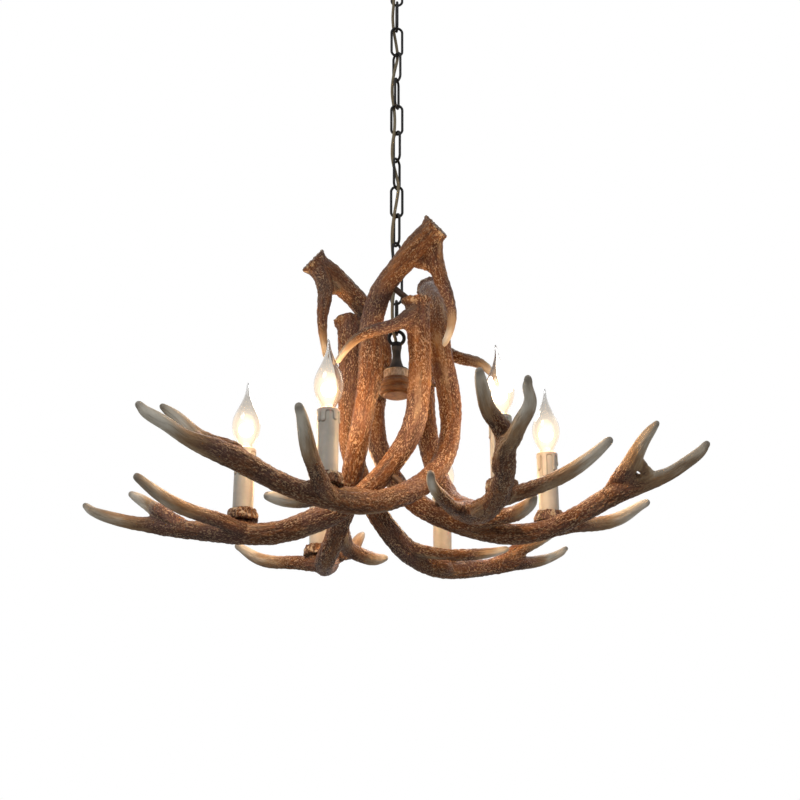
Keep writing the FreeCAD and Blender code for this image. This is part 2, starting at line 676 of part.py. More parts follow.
def cord_points():
    """The cord's way down: out of the canopy loop, in and out of the links, into the hub.

    Each link joint has the cord's place beside it, and each link the cord's place at half
    height, as x and y from the chain's axis.
    """
    beside_joints = [
        (-4.9, -5.1), (-4.2, -4.6), (-4.7, 3.8), (1.6, 5.9), (-5.8, -1.8), (-3.7, 5.0),
        (-3.2, -5.3), (-6.2, -0.6), (3.0, -5.4), (-3.2, -5.3), (-6.2, 0.8), (-1.2, 6.0),
        (-5.6, -3.4), (-4.7, -5.6),
    ]
    beside_links = [
        (-5.2, -6.5), (-6.4, -0.6), (-0.9, 6.1), (-2.4, 2.4), (-7.0, 1.2), (-2.6, 0.4),
        (-6.3, -3.9), (-1.4, -2.8), (0.4, -6.3), (-6.0, -2.8), (-4.4, 4.2), (-3.0, 0.8),
        (-5.6, -4.9),
    ]
    points = [V(0, 0, -0.6), V(0, 0, canopy_loop_z + 4.0),
              V(-2.7, -3.0, canopy_loop_z - 3.0)]
    for index, top in enumerate(link_tops):
        x, y = beside_joints[index]
        points.append(V(x, y, top - link_wire / 2))
        x, y = beside_links[index]
        points.append(V(x, y, top - link_mean_length / 2))
    x, y = beside_joints[-1]
    points.append(V(x, y, last_link_bottom + link_wire / 2))
    points += [V(-3.0, -3.5, hub_loop_z + 2.3), V(0, 0, hub_loop_z - 4.6),
               V(0, 0, hub_loop_z - cord_end_drop)]
    return points


def cord_path(points):
    """Straight runs joined by tangent arcs, as large as the runs beside them allow."""
    edges = []
    radii = []
    start = points[0]
    for before, corner, after in zip(points, points[1:], points[2:]):
        run_in = before.sub(corner)
        run_out = after.sub(corner)
        half_turn = (math.pi - run_in.getAngle(run_out)) / 2
        if half_turn < 1e-4:
            continue
        reach = 0.45 * min(run_in.Length, run_out.Length)
        radii.append(reach / math.tan(half_turn))
        arc_start = corner.add(V(run_in).normalize().multiply(reach))
        arc_end = corner.add(V(run_out).normalize().multiply(reach))
        inward = V(run_in).normalize().add(V(run_out).normalize()).normalize()
        depth = radii[-1] * (1 / math.cos(half_turn) - 1)
        arc_middle = corner.add(V(inward).multiply(depth))
        edges.append(Part.makeLine(start, arc_start))
        edges.append(Part.Arc(arc_start, arc_middle, arc_end).toShape())
        start = arc_end
    edges.append(Part.makeLine(start, points[-1]))
    return Part.Wire(edges), radii


def make_cord():
    path, radii = cord_path(cord_points())
    profile = Part.Wire(Part.makeCircle(cord_diameter / 2, path.Vertexes[0].Point, UP))
    cord = path.makePipeShell([profile], True, False)
    expected = math.pi * cord_diameter ** 2 / 4 * path.Length
    print("cord length %.0f mm, smallest radius %.1f mm" % (path.Length, min(radii)))
    print("cord volume over section times length: %.4f" % (cord.Volume / expected))
    return cord


def make_all():
    whole_antlers = [make_antler(index) for index in range(len(antler_seats))]
    antlers = drilled(whole_antlers)
    nodes = {
        "ceiling_bracket": make_bracket(),
        "threaded_nipple": make_nipple(),
        "nipple_nut": make_nipple_nut(),
        "canopy": make_canopy(),
        "canopy_loop": make_canopy_loop(),
        "supply_cord": make_cord(),
        "hub_loop": make_hub_loop(),
        "hub_neck": make_hub_neck(),
        "hub_collar": make_hub_collar(),
        "hub_body": make_hub_body(),
        "hub_cap": make_hub_cap(),
        "hub_rod": make_hub_rod(),
        "hub_studs": Part.makeCompound([cylinder_between(a, b, stud_radius) for _, a, b in stud_lines()]),
        "joint_screws": make_joint_screws(whole_antlers),
    }
    for index, (turn, top) in enumerate(zip(link_turns, link_tops)):
        nodes["chain_link_%02d" % (index + 1)] = make_link(turn, top)
    candle_pieces = {
        "candle_cup": make_cup(),
        "candle_sleeve": make_sleeve(),
        "bulb_cap": make_bulb_cap(),
        "bulb_glass": make_bulb_glass(),
    }
    grouped = {"candle_nipples": make_candle_nipple(), "lampholders": make_holder()}
    for index, antler in enumerate(antlers):
        nodes["antler_%d" % (index + 1)] = antler
        for name, shape in candle_pieces.items():
            nodes["%s_%d" % (name, index + 1)] = at_candle(shape, index)
    for name, shape in grouped.items():
        nodes[name] = Part.makeCompound([at_candle(shape, index) for index in range(len(antlers))])
    return nodes


for name, shape in make_all().items():
    if not shape.isValid():
        print("not valid:", name)
    shape.exportStep("parts/%s.step" % name)
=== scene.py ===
import json
import math
import random

import bpy
import numpy as np
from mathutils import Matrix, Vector


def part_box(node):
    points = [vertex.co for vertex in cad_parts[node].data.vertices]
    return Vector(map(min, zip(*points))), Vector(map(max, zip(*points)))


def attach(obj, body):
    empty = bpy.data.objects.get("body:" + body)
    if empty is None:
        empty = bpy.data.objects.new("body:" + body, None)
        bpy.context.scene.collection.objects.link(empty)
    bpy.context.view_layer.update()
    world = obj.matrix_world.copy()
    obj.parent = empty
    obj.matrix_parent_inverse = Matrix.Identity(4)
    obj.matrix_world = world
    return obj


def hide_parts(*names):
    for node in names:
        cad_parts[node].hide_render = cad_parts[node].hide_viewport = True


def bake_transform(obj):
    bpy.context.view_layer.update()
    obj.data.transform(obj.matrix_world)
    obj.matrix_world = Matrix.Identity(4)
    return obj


# Antler chandelier: cast antlers round a turned hub, candle lamps, link chain and cloth cord.
# Metres, in the CAD frame: the origin is in the ceiling plane and the front is -Y.

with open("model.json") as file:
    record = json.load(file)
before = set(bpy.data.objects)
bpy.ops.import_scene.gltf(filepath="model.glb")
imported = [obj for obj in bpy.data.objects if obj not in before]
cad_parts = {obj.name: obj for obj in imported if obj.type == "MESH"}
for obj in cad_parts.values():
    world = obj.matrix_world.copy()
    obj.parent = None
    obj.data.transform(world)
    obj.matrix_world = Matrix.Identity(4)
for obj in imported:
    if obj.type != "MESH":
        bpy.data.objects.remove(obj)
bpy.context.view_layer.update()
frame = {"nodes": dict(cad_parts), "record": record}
nodes = frame["nodes"]
print("frame loaded:", len(nodes), "nodes")


# ---- camera ----

view = {"place": (0.0044, -1.5455, -1.2779), "tilt": 110.6, "focalPixels": 1300.0, "framePixels": 800.0}

cameraData = bpy.data.cameras.new("camera")
cameraData.sensor_width = 36.0
cameraData.lens = cameraData.sensor_width * view["focalPixels"] / view["framePixels"]
camera = bpy.data.objects.new("camera", cameraData)
camera.location = view["place"]
camera.rotation_euler = (math.radians(view["tilt"]), 0, 0)
bpy.context.scene.collection.objects.link(camera)
bpy.context.scene.camera = camera


# ---- node helpers ----

def addNode(tree, kind, inputs=None, **settings):
    # a value that is a socket gets linked, any other is typed in
    node = tree.nodes.new(kind)
    for key, value in settings.items():
        setattr(node, key, value)
    for key, value in (inputs or {}).items():
        if isinstance(value, bpy.types.NodeSocket):
            tree.links.new(value, node.inputs[key])
        else:
            node.inputs[key].default_value = value
    return node


def calc(tree, operation, *values):
    return addNode(tree, "ShaderNodeMath", dict(enumerate(values)), operation=operation).outputs[0]


def remap(tree, value, low, high, newLow=0.0, newHigh=1.0):
    return addNode(tree, "ShaderNodeMapRange", {0: value, 1: low, 2: high, 3: newLow, 4: newHigh},
                   interpolation_type="SMOOTHSTEP").outputs[0]


def noise(tree, vector, size, detail=2.0, roughness=0.5):
    inputs = {"Vector": vector, "Scale": 1.0 / size, "Detail": detail, "Roughness": roughness}
    return addNode(tree, "ShaderNodeTexNoise", inputs).outputs["Fac"]


def stretched(tree, vector, x, y, z):
    return addNode(tree, "ShaderNodeVectorMath", {0: vector, 1: (x, y, z)}, operation="MULTIPLY").outputs[0]


def ramp(tree, value, stops):
    node = addNode(tree, "ShaderNodeValToRGB", {0: value})
    elements = node.color_ramp.elements
    while len(elements) < len(stops):
        elements.new(1.0)
    for element, (place, colour) in zip(elements, stops):
        element.position = place
        element.color = (*colour, 1.0)
    return node.outputs[0]


def mixColour(tree, share, first, second):
    node = addNode(tree, "ShaderNodeMix", data_type="RGBA")
    for index, value in ((0, share), (6, first), (7, second)):
        if isinstance(value, bpy.types.NodeSocket):
            tree.links.new(value, node.inputs[index])
        else:
            node.inputs[index].default_value = (*value, 1.0) if index else value
    return node.outputs[2]


def bump(tree, height, depth, strength=1.0):
    inputs = {"Height": height, "Distance": depth, "Strength": strength}
    return addNode(tree, "ShaderNodeBump", inputs).outputs[0]


def newMaterial(name, plain):
    material = bpy.data.materials.new(name)
    material.use_nodes = True
    tree = material.node_tree
    shader = tree.nodes["Principled BSDF"]
    for key, value in plain.items():
        shader.inputs[key].default_value = value
    return material, tree, shader


def newGroup(name, kind, inputs, outputs):
    tree = bpy.data.node_groups.new(name, kind)
    for socket, (socketKind, value) in inputs.items():
        made = tree.interface.new_socket(socket, in_out="INPUT", socket_type=socketKind)
        if value is not None:
            made.default_value = value
    for socket, socketKind in outputs.items():
        tree.interface.new_socket(socket, in_out="OUTPUT", socket_type=socketKind)
    return tree, tree.nodes.new("NodeGroupInput"), tree.nodes.new("NodeGroupOutput")


def linkGroup(tree, group, inputs):
    return addNode(tree, "ShaderNodeGroup", inputs, node_tree=group)


# ---- effects that several materials share ----

# flecks, long grooves and broad streaks of a cast antler surface, drawn out along the third axis; the flecks
# also serve as painted highlights
castTexture, groupIn, groupOut = newGroup(
    "castTexture", "ShaderNodeTree",
    {"Vector": ("NodeSocketVector", None), "Fleck Size": ("NodeSocketFloat", 0.0024),
     "Groove Size": ("NodeSocketFloat", 0.006)},
    {"Fleck": "NodeSocketFloat", "Groove": "NodeSocketFloat", "Streak": "NodeSocketFloat"})
castPlace = groupIn.outputs["Vector"]
fleckNoise = addNode(castTexture, "ShaderNodeTexNoise",
                     {"Vector": stretched(castTexture, castPlace, 1.0, 1.0, 0.5),
                      "Scale": calc(castTexture, "DIVIDE", 1.0, groupIn.outputs["Fleck Size"]),
                      "Detail": 1.5, "Roughness": 0.5, "Distortion": 0.3})
fleckPatches = noise(castTexture, stretched(castTexture, castPlace, 1.0, 1.0, 0.35), 0.012, 2.0)
flecks = calc(castTexture, "MULTIPLY", remap(castTexture, fleckNoise.outputs["Fac"], 0.50, 0.64),
              remap(castTexture, fleckPatches, 0.36, 0.62, 0.3, 1.0))
castTexture.links.new(flecks, groupOut.inputs["Fleck"])
grooveNoise = addNode(castTexture, "ShaderNodeTexNoise",
                      {"Vector": stretched(castTexture, castPlace, 1.0, 1.0, 0.11),
                       "Scale": calc(castTexture, "DIVIDE", 1.0, groupIn.outputs["Groove Size"]),
                       "Detail": 3.0, "Roughness": 0.55})
grooves = remap(castTexture, grooveNoise.outputs["Fac"], 0.47, 0.36)
castTexture.links.new(grooves, groupOut.inputs["Groove"])
streaks = noise(castTexture, stretched(castTexture, castPlace, 1.0, 1.0, 0.2), 0.018, 4.0, 0.6)
castTexture.links.new(streaks, groupOut.inputs["Streak"])

# blotches and fine pits of a handled metal or painted surface
patina, groupIn, groupOut = newGroup(
    "patina", "ShaderNodeTree",
    {"Vector": ("NodeSocketVector", None), "Blotch Size": ("NodeSocketFloat", 0.012),
     "Pit Size": ("NodeSocketFloat", 0.0008)},
    {"Blotch": "NodeSocketFloat", "Pits": "NodeSocketFloat"})
blotches = addNode(patina, "ShaderNodeTexNoise",
                   {"Vector": groupIn.outputs["Vector"], "Detail": 3.0, "Roughness": 0.6,
                    "Scale": calc(patina, "DIVIDE", 1.0, groupIn.outputs["Blotch Size"])})
pits = addNode(patina, "ShaderNodeTexNoise",
               {"Vector": groupIn.outputs["Vector"], "Detail": 1.0,
                "Scale": calc(patina, "DIVIDE", 1.0, groupIn.outputs["Pit Size"])})
patina.links.new(blotches.outputs["Fac"], groupOut.inputs["Blotch"])
patina.links.new(pits.outputs["Fac"], groupOut.inputs["Pits"])


# ---- materials ----

def objectPlace(tree):
    return tree.nodes.new("ShaderNodeTexCoord").outputs["Object"]


def attribute(tree, name, output="Fac"):
    return addNode(tree, "ShaderNodeAttribute", attribute_name=name).outputs[output]


# stains from dark to light, then the marks on them and the sizes of their patterns in metres
antlerLook = {
    "brown": [(0.25, (0.060, 0.020, 0.007)), (0.42, (0.125, 0.045, 0.0145)), (0.56, (0.195, 0.078, 0.026)),
              (0.75, (0.285, 0.130, 0.048))],
    "horn": [(0.3, (0.175, 0.092, 0.040)), (0.5, (0.34, 0.215, 0.115)), (0.7, (0.50, 0.375, 0.24))],
    "tip": [(0.28, (0.27, 0.215, 0.145)), (0.5, (0.57, 0.51, 0.41)), (0.72, (0.85, 0.80, 0.70))],
    "greyEnd": (0.24, 0.21, 0.175),
    "mauve": (0.105, 0.052, 0.042),
    # pale flecks, partly the cast's own specks and partly painted highlights on the bead tops
    "fleckAndHighlight": (0.52, 0.345, 0.205),
    "groove": (0.022, 0.009, 0.005),
    "chips": (0.52, 0.40, 0.27),
    "fleckSize": 0.0015, "grooveSize": 0.0060, "patchSize": 0.07, "chipSize": 0.006, "tipCloudSize": 0.03,
    "reliefStainAndShadeTone": 0.48, "streakTone": 0.65, "toneShift": -0.07,
    "grooveShare": 0.5, "fleckHighlightShare": 0.85, "patchShare": 0.75, "greyEndShare": 0.75,
    "markDepth": 0.0007,
}


def makeAntlerMaterial(name, tipped, shade=1.0):
    material, tree, shader = newMaterial(name, {"Roughness": 0.5, "Specular IOR Level": 0.25})
    look = antlerLook
    texture = linkGroup(tree, castTexture, {
        "Vector": attribute(tree, "limbPlace", "Vector"), "Fleck Size": look["fleckSize"],
        "Groove Size": look["grooveSize"]})
    fleckAndHighlight, groove, streak = (texture.outputs[key] for key in ("Fleck", "Groove", "Streak"))
    # the relief darkens the hollows and lightens the ridges and bead tops: partly stain, partly painted shade
    # and painted light
    tone = calc(tree, "MULTIPLY_ADD", attribute(tree, "relief"), look["reliefStainAndShadeTone"],
                calc(tree, "MULTIPLY_ADD", streak, look["streakTone"], look["toneShift"]))
    brown = ramp(tree, tone, [(place, tuple(shade * c for c in colour)) for place, colour in look["brown"]])
    patchNoise = noise(tree, objectPlace(tree), look["patchSize"], 2.0)
    patch = remap(tree, patchNoise, 0.44, 0.64, 0.0, look["patchShare"])
    brown = mixColour(tree, patch, brown, look["mauve"])
    brown = mixColour(tree, calc(tree, "MULTIPLY", groove, look["grooveShare"]), brown, look["groove"])
    rough = calc(tree, "SUBTRACT", 1.0, attribute(tree, "tipShare"))
    # the pale flecks, partly painted highlights, fade out towards the smooth tips
    fleckHighlightShare = calc(tree, "MULTIPLY", fleckAndHighlight, remap(tree, rough, 0.15, 0.75, 0.0, look["fleckHighlightShare"]))
    brown = mixColour(tree, fleckHighlightShare, brown, look["fleckAndHighlight"])
    chipNoise = noise(tree, objectPlace(tree), look["chipSize"], 3.0)
    chipShare = calc(tree, "MULTIPLY", attribute(tree, "burrShare"), remap(tree, chipNoise, 0.53, 0.63))
    colour = mixColour(tree, chipShare, brown, look["chips"])
    if tipped:  # brown runs raggedly out into horn, horn into the pale tip, and the very end is greyer
        clouds = noise(tree, objectPlace(tree), look["tipCloudSize"], 2.0)
        tipTone = calc(tree, "MULTIPLY_ADD", streak, 0.8, calc(tree, "MULTIPLY", clouds, 0.22))
        ragged = calc(tree, "MULTIPLY_ADD", calc(tree, "SUBTRACT", streak, 0.5), 1.5,
                      attribute(tree, "tipShare"))
        for stain, low, high in (("horn", 0.05, 0.60), ("tip", 0.50, 1.15)):
            colour = mixColour(tree, remap(tree, ragged, low, high), colour, ramp(tree, tipTone, look[stain]))
        greyEnd = remap(tree, attribute(tree, "tipEnd"), 0.2, 1.0, 0.0, look["greyEndShare"])
        colour = mixColour(tree, greyEnd, colour, look["greyEnd"])
    tree.links.new(colour, shader.inputs["Base Color"])
    tree.links.new(remap(tree, fleckAndHighlight, 0.0, 1.0, 0.58, 0.40), shader.inputs["Roughness"])
    height = calc(tree, "MULTIPLY_ADD", fleckAndHighlight, remap(tree, rough, 0.2, 0.8, 0.08, 1.0),
                  calc(tree, "MULTIPLY", groove, -1.0))
    tree.links.new(bump(tree, height, look["markDepth"], 0.9), shader.inputs["Normal"])
    return material


def makeMetalMaterial(name, dark, light, roughness, metallic, blotch, pitDepth, gloss):
    material, tree, shader = newMaterial(name, {"Metallic": metallic, "Specular IOR Level": gloss})
    wear = linkGroup(tree, patina, {"Vector": objectPlace(tree), "Blotch Size": blotch})
    share = remap(tree, wear.outputs["Blotch"], 0.35, 0.68)
    tree.links.new(mixColour(tree, share, dark, light), shader.inputs["Base Color"])
    uneven = calc(tree, "MULTIPLY_ADD", wear.outputs["Pits"], 0.25, roughness)
    tree.links.new(uneven, shader.inputs["Roughness"])
    tree.links.new(bump(tree, wear.outputs["Pits"], pitDepth), shader.inputs["Normal"])
    return material


candleLook = {"shade": (0.45, 0.41, 0.35), "wax": (0.55, 0.505, 0.43), "dripEdge": (0.20, 0.165, 0.12)}


def makeCandleMaterial():
    material, tree, shader = newMaterial("candleIvory", {"Roughness": 0.42, "Subsurface Weight": 0.12,
                                                         "Subsurface Scale": 0.004})
    wear = linkGroup(tree, patina, {"Vector": objectPlace(tree), "Blotch Size": 0.02, "Pit Size": 0.0012})
    blotch = remap(tree, wear.outputs["Blotch"], 0.3, 0.7)
    wax = mixColour(tree, blotch, candleLook["shade"], candleLook["wax"])
    edge = calc(tree, "MULTIPLY", attribute(tree, "dripEdge"), 0.75)
    tree.links.new(mixColour(tree, edge, wax, candleLook["dripEdge"]), shader.inputs["Base Color"])
    tree.links.new(bump(tree, wear.outputs["Pits"], 0.00012), shader.inputs["Normal"])
    return material


# the glass has painted shade towards its edges and its tip and a painted warm glow low down, and its belly is
# lit from inside
lampLook = {
    # painted warm glow low down and painted shade towards the tip, by height
    "paintedGlowAndShade": [(0.0, (0.96, 0.87, 0.76)), (0.30, (0.98, 0.90, 0.80)), (0.48, (0.93, 0.88, 0.80)),
             (0.62, (0.76, 0.72, 0.67)), (0.80, (0.71, 0.69, 0.66)), (1.0, (0.68, 0.68, 0.68))],
    # painted shade at the glass edges
    "edge": (0.52, 0.49, 0.45),
    "inner": [(0.0, (0.16, 0.085, 0.035)), (0.25, (0.18, 0.10, 0.045)), (0.45, (0.09, 0.052, 0.024)),
              (0.62, (0.01, 0.006, 0.003)), (0.75, (0.0, 0.0, 0.0))],
    "innerStrength": 0.3,
    "glow": (1.0, 0.86, 0.62), "glowStrength": 2.4, "glowAlpha": 0.3,
}


def makeGlassMaterial():
    material, tree, shader = newMaterial("lampGlass", {
        "Transmission Weight": 1.0, "IOR": 1.45, "Roughness": 0.01,
        "Emission Strength": lampLook["innerStrength"]})
    height = attribute(tree, "lampHeight")
    facing = addNode(tree, "ShaderNodeLayerWeight", {"Blend": 0.5}).outputs["Facing"]
    # the base colour carries painted shade at the edges and painted glow and shade by height
    paintedGlassColour = mixColour(tree, remap(tree, facing, 0.62, 0.98, 0.0, 0.8), ramp(tree, height, lampLook["paintedGlowAndShade"]),
                       lampLook["edge"])
    tree.links.new(paintedGlassColour, shader.inputs["Base Color"])
    tree.links.new(ramp(tree, height, lampLook["inner"]), shader.inputs["Emission Color"])
    return material


def makeGlowMaterial():
    material, tree, shader = newMaterial("lampGlow", {
        "Base Color": (0.0, 0.0, 0.0, 1.0), "Emission Color": (*lampLook["glow"], 1.0),
        "Emission Strength": lampLook["glowStrength"], "Specular IOR Level": 0.0, "Roughness": 1.0})
    fade = calc(tree, "MULTIPLY", attribute(tree, "lampHeight"), lampLook["glowAlpha"])
    tree.links.new(fade, shader.inputs["Alpha"])
    return material


cordLook = {"threadsAlong": 420.0, "threadsAround": 8.0, "threadDepth": 0.0003,
            # cloth colour with painted shade between the threads and painted light on their crowns
            "clothAndThreadShade": [(0.3, (0.07, 0.054, 0.03)), (0.75, (0.19, 0.155, 0.095)), (1.0, (0.30, 0.25, 0.16))]}


def makeCordMaterial():
    material, tree, shader = newMaterial("cordCloth", {"Roughness": 0.85})
    place = tree.nodes.new("ShaderNodeUVMap").outputs["UV"]
    split = addNode(tree, "ShaderNodeSeparateXYZ", {0: place})
    strands = []
    for direction in (1.0, -1.0):  # two sets of threads that cross on a slant
        slant = calc(tree, "MULTIPLY_ADD", split.outputs[1], direction * cordLook["threadsAlong"],
                     calc(tree, "MULTIPLY", split.outputs[0], cordLook["threadsAround"]))
        strands.append(calc(tree, "ABSOLUTE", calc(tree, "SINE", calc(tree, "MULTIPLY", slant, math.pi))))
    weave = calc(tree, "MAXIMUM", *strands)
    # the cloth's colour with painted shade between the threads and painted light on their crowns
    tree.links.new(ramp(tree, weave, cordLook["clothAndThreadShade"]), shader.inputs["Base Color"])
    tree.links.new(bump(tree, weave, cordLook["threadDepth"]), shader.inputs["Normal"])
    return material


antlerMaterial = makeAntlerMaterial("antlerCast", True)
cupMaterial = makeAntlerMaterial("cupCast", False, 0.9)
candleMaterial = makeCandleMaterial()
glassMaterial = makeGlassMaterial()
glowMaterial = makeGlowMaterial()
cordMaterial = makeCordMaterial()

# dark and light colour, roughness, share of metal, size of the blotches and depth of the pits, gloss
metalLooks = {
    "blackIron": ((0.006, 0.006, 0.007), (0.018, 0.017, 0.016), 0.45, 0.0, 0.006, 0.0001, 0.22),
    "darkIron": ((0.070, 0.065, 0.059), (0.13, 0.12, 0.108), 0.5, 0.1, 0.012, 0.0001, 0.25),
    "agedBronze": ((0.55, 0.38, 0.24), (0.90, 0.72, 0.53), 0.40, 0.15, 0.004, 0.0001, 0.5),
    "brownTurned": ((0.18, 0.077, 0.028), (0.33, 0.162, 0.066), 0.34, 0.1, 0.009, 0.0001, 0.4),
    "zincSteel": ((0.42, 0.42, 0.40), (0.62, 0.61, 0.58), 0.28, 1.0, 0.012, 0.0001, 0.5),
    "brownSteel": ((0.05, 0.025, 0.012), (0.12, 0.062, 0.03), 0.5, 0.35, 0.012, 0.0001, 0.5),
    "lampholderWhite": ((0.66, 0.65, 0.61), (0.78, 0.77, 0.73), 0.25, 0.0, 0.02, 0.00003, 0.5),
    "lampCapNickel": ((0.50, 0.47, 0.41), (0.70, 0.67, 0.60), 0.22, 1.0, 0.012, 0.0001, 0.5),
}
metals = {name: makeMetalMaterial(name, *look) for name, look in metalLooks.items()}
print("materials made")


# ---- mesh helpers ----

def addMesh(name, points, faces, material, uv=None, attributes=None):
    mesh = bpy.data.meshes.new(name)
    mesh.from_pydata([tuple(p) for p in points], [], faces)
    mesh.polygons.foreach_set("use_smooth", [True] * len(mesh.polygons))
    if uv is not None:
        layer = mesh.uv_layers.new(name="UVMap")
        corners = np.empty(len(mesh.loops), np.int32)
        mesh.loops.foreach_get("vertex_index", corners)
        layer.data.foreach_set("uv", np.asarray(uv, np.float32)[corners].ravel())
    setAttributes(mesh, attributes or {})
    mesh.materials.append(material)
    mesh.update()
    piece = bpy.data.objects.new(name, mesh)
    bpy.context.scene.collection.objects.link(piece)
    return piece


def setAttributes(mesh, attributes):
    for key, values in attributes.items():
        values = np.asarray(values, np.float32)
        kind, field = ("FLOAT_VECTOR", "vector") if values.ndim == 2 else ("FLOAT", "value")
        made = mesh.attributes.new(key, kind, "POINT")
        made.data.foreach_set(field, values.ravel())


def meshPoints(mesh):
    points = np.empty(len(mesh.vertices) * 3, np.float32)
    mesh.vertices.foreach_get("co", points)
    return points.reshape(-1, 3).astype(float)


def plainMesh(piece):
    # the piece with its modifiers worked in, and none left on it
    graph = bpy.context.evaluated_depsgraph_get()
    mesh = bpy.data.meshes.new_from_object(piece.evaluated_get(graph), preserve_all_data_layers=True,
                                           depsgraph=graph)
    piece.modifiers.clear()
    piece.data = mesh
    return mesh


def ringFaces(rings, sides, closeStart=True, closeEnd=True):
    # faces of a tube of rings, with round caps as single faces
    faces = []
    for ring in range(rings - 1):
        for side in range(sides):
            a = ring * sides + side
            b = ring * sides + (side + 1) % sides
            faces.append((a, b, b + sides, a + sides))
    if closeStart:
        faces.append(tuple(reversed(range(sides))))
    if closeEnd:
        faces.append(tuple((rings - 1) * sides + side for side in range(sides)))
    return faces


def turnedPiece(name, outline, centre, sides, material, attributes=None, bend=None):
    # a closed turned shape from radius and height pairs, outside going up
    angles = np.arange(sides) * 2 * math.pi / sides
    points = []
    for radius, height in outline:
        ring = np.stack([radius * np.cos(angles), radius * np.sin(angles), np.full(sides, height)], 1)
        if bend is not None:
            ring[:, :2] += bend(height)
        points.append(ring)
    points = np.concatenate(points) + np.asarray(centre)
    spread = {key: np.repeat(values, sides) for key, values in (attributes or {}).items()}
    return addMesh(name, points, ringFaces(len(outline), sides), material, attributes=spread)


def remeshed(name, node, voxel, smoothing, material):
    # an even copy of a CAD node with its edges eased
    mesh = nodes[node].data.copy()
    piece = bpy.data.objects.new(name, mesh)
    bpy.context.scene.collection.objects.link(piece)
    weld = piece.modifiers.new("weld", "WELD")
    weld.merge_threshold = 1e-5
    remesh = piece.modifiers.new("remesh", "REMESH")
    remesh.mode = "VOXEL"
    remesh.voxel_size = voxel
    ease = piece.modifiers.new("ease", "SMOOTH")
    ease.factor = 0.5
    ease.iterations = smoothing
    mesh = plainMesh(piece)
    mesh.materials.clear()
    mesh.materials.append(material)
    return piece


# ---- relief that stands on the cast pieces ----

def makeReliefTree():
    tree, groupIn, groupOut = newGroup("castRelief", "GeometryNodeTree", {
        "Geometry": ("NodeSocketGeometry", None),
        "Bead Size": ("NodeSocketFloat", 0.0042),
        "Bead Height": ("NodeSocketFloat", 0.0008),
        "Ridge Size": ("NodeSocketFloat", 0.009),
        "Ridge Height": ("NodeSocketFloat", 0.0016),
        "Swell Size": ("NodeSocketFloat", 0.045),
        "Swell Height": ("NodeSocketFloat", 0.003),
        "Knob Size": ("NodeSocketFloat", 0.010),
        "Knob Height": ("NodeSocketFloat", 0.003),
        "Material": ("NodeSocketMaterial", None),
    }, {"Geometry": "NodeSocketGeometry"})

    def named(name, kind):
        node = addNode(tree, "GeometryNodeInputNamedAttribute", {"Name": name}, data_type=kind)
        return node.outputs["Attribute"]

    def pattern(kind, output, effect, stretch, inputs, **settings):
        settled = {"Vector": stretched(tree, place, *stretch),
                   "Scale": calc(tree, "DIVIDE", 1.0, groupIn.outputs[effect + " Size"])}
        return addNode(tree, kind, {**settled, **inputs}, **settings).outputs[output]

    def lifted(effect, amount):
        share = calc(tree, "SUBTRACT", amount, 0.5)
        return calc(tree, "MULTIPLY", share, groupIn.outputs[effect + " Height"])

    place = named("limbPlace", "FLOAT_VECTOR")
    rough = calc(tree, "SUBTRACT", 1.0, named("tipShare", "FLOAT"))
    beads = pattern("ShaderNodeTexVoronoi", "Distance", "Bead", (1.0, 1.0, 0.42), {"Smoothness": 0.35},
                    feature="SMOOTH_F1")
    bead = remap(tree, beads, 0.62, 0.12)
    ridges = pattern("ShaderNodeTexNoise", "Fac", "Ridge", (1.0, 1.0, 0.13), {"Detail": 3.0})
    swells = pattern("ShaderNodeTexNoise", "Fac", "Swell", (0.6, 0.6, 0.8), {"Detail": 1.0})
    knobs = pattern("ShaderNodeTexVoronoi", "Distance", "Knob", (1.0, 1.0, 0.45), {"Smoothness": 0.4},
                    feature="SMOOTH_F1")
    ridgeShare = remap(tree, rough, 0.0, 1.0, 0.45, 1.0)
    knob = calc(tree, "SUBTRACT", 0.45, knobs)
    knobLift = calc(tree, "MULTIPLY", calc(tree, "MULTIPLY", knob, named("burrShare", "FLOAT")),
                    groupIn.outputs["Knob Height"])
    beadsAndRidges = calc(tree, "MULTIPLY_ADD", lifted("Bead", bead), rough,
                          calc(tree, "MULTIPLY", lifted("Ridge", ridges), ridgeShare))
    swellsAndKnobs = calc(tree, "ADD", calc(tree, "MULTIPLY", lifted("Swell", swells), ridgeShare), knobLift)
    lift = calc(tree, "ADD", beadsAndRidges, swellsAndKnobs)
    normal = tree.nodes.new("GeometryNodeInputNormal").outputs[0]
    offset = addNode(tree, "ShaderNodeVectorMath", {0: normal, "Scale": lift}, operation="SCALE").outputs[0]
    moved = addNode(tree, "GeometryNodeSetPosition",
                    {"Geometry": groupIn.outputs["Geometry"], "Offset": offset})
    # the beads and ridges also go into the stain, partly as its own tone and partly as painted shade in the
    # hollows and painted light on the ridges
    reliefStainAndShade = calc(tree, "MULTIPLY_ADD", calc(tree, "SUBTRACT", ridges, 0.5), 1.2,
                 calc(tree, "MULTIPLY_ADD", bead, 0.35, 0.30))
    stored = addNode(tree, "GeometryNodeStoreNamedAttribute",
                     {"Geometry": moved.outputs[0], "Name": "relief", "Value": reliefStainAndShade},
                     data_type="FLOAT", domain="POINT")
    realized = addNode(tree, "GeometryNodeRealizeInstances", {0: stored.outputs[0]})
    finished = addNode(tree, "GeometryNodeSetMaterial", {"Geometry": realized.outputs[0],
                                                         "Material": groupIn.outputs["Material"]})
    tree.links.new(finished.outputs[0], groupOut.inputs["Geometry"])
    return tree


reliefTree = makeReliefTree()


def addRelief(piece, sizes, material):
    modifier = piece.modifiers.new("relief", "NODES")
    modifier.node_group = reliefTree
    sockets = [item for item in reliefTree.interface.items_tree if item.in_out == "INPUT"]
    identifiers = {item.name: item.identifier for item in sockets}
    for name, value in sizes.items():
        modifier[identifiers[name]] = value
    modifier[identifiers["Material"]] = material
    plainMesh(piece)


# ---- antlers ----

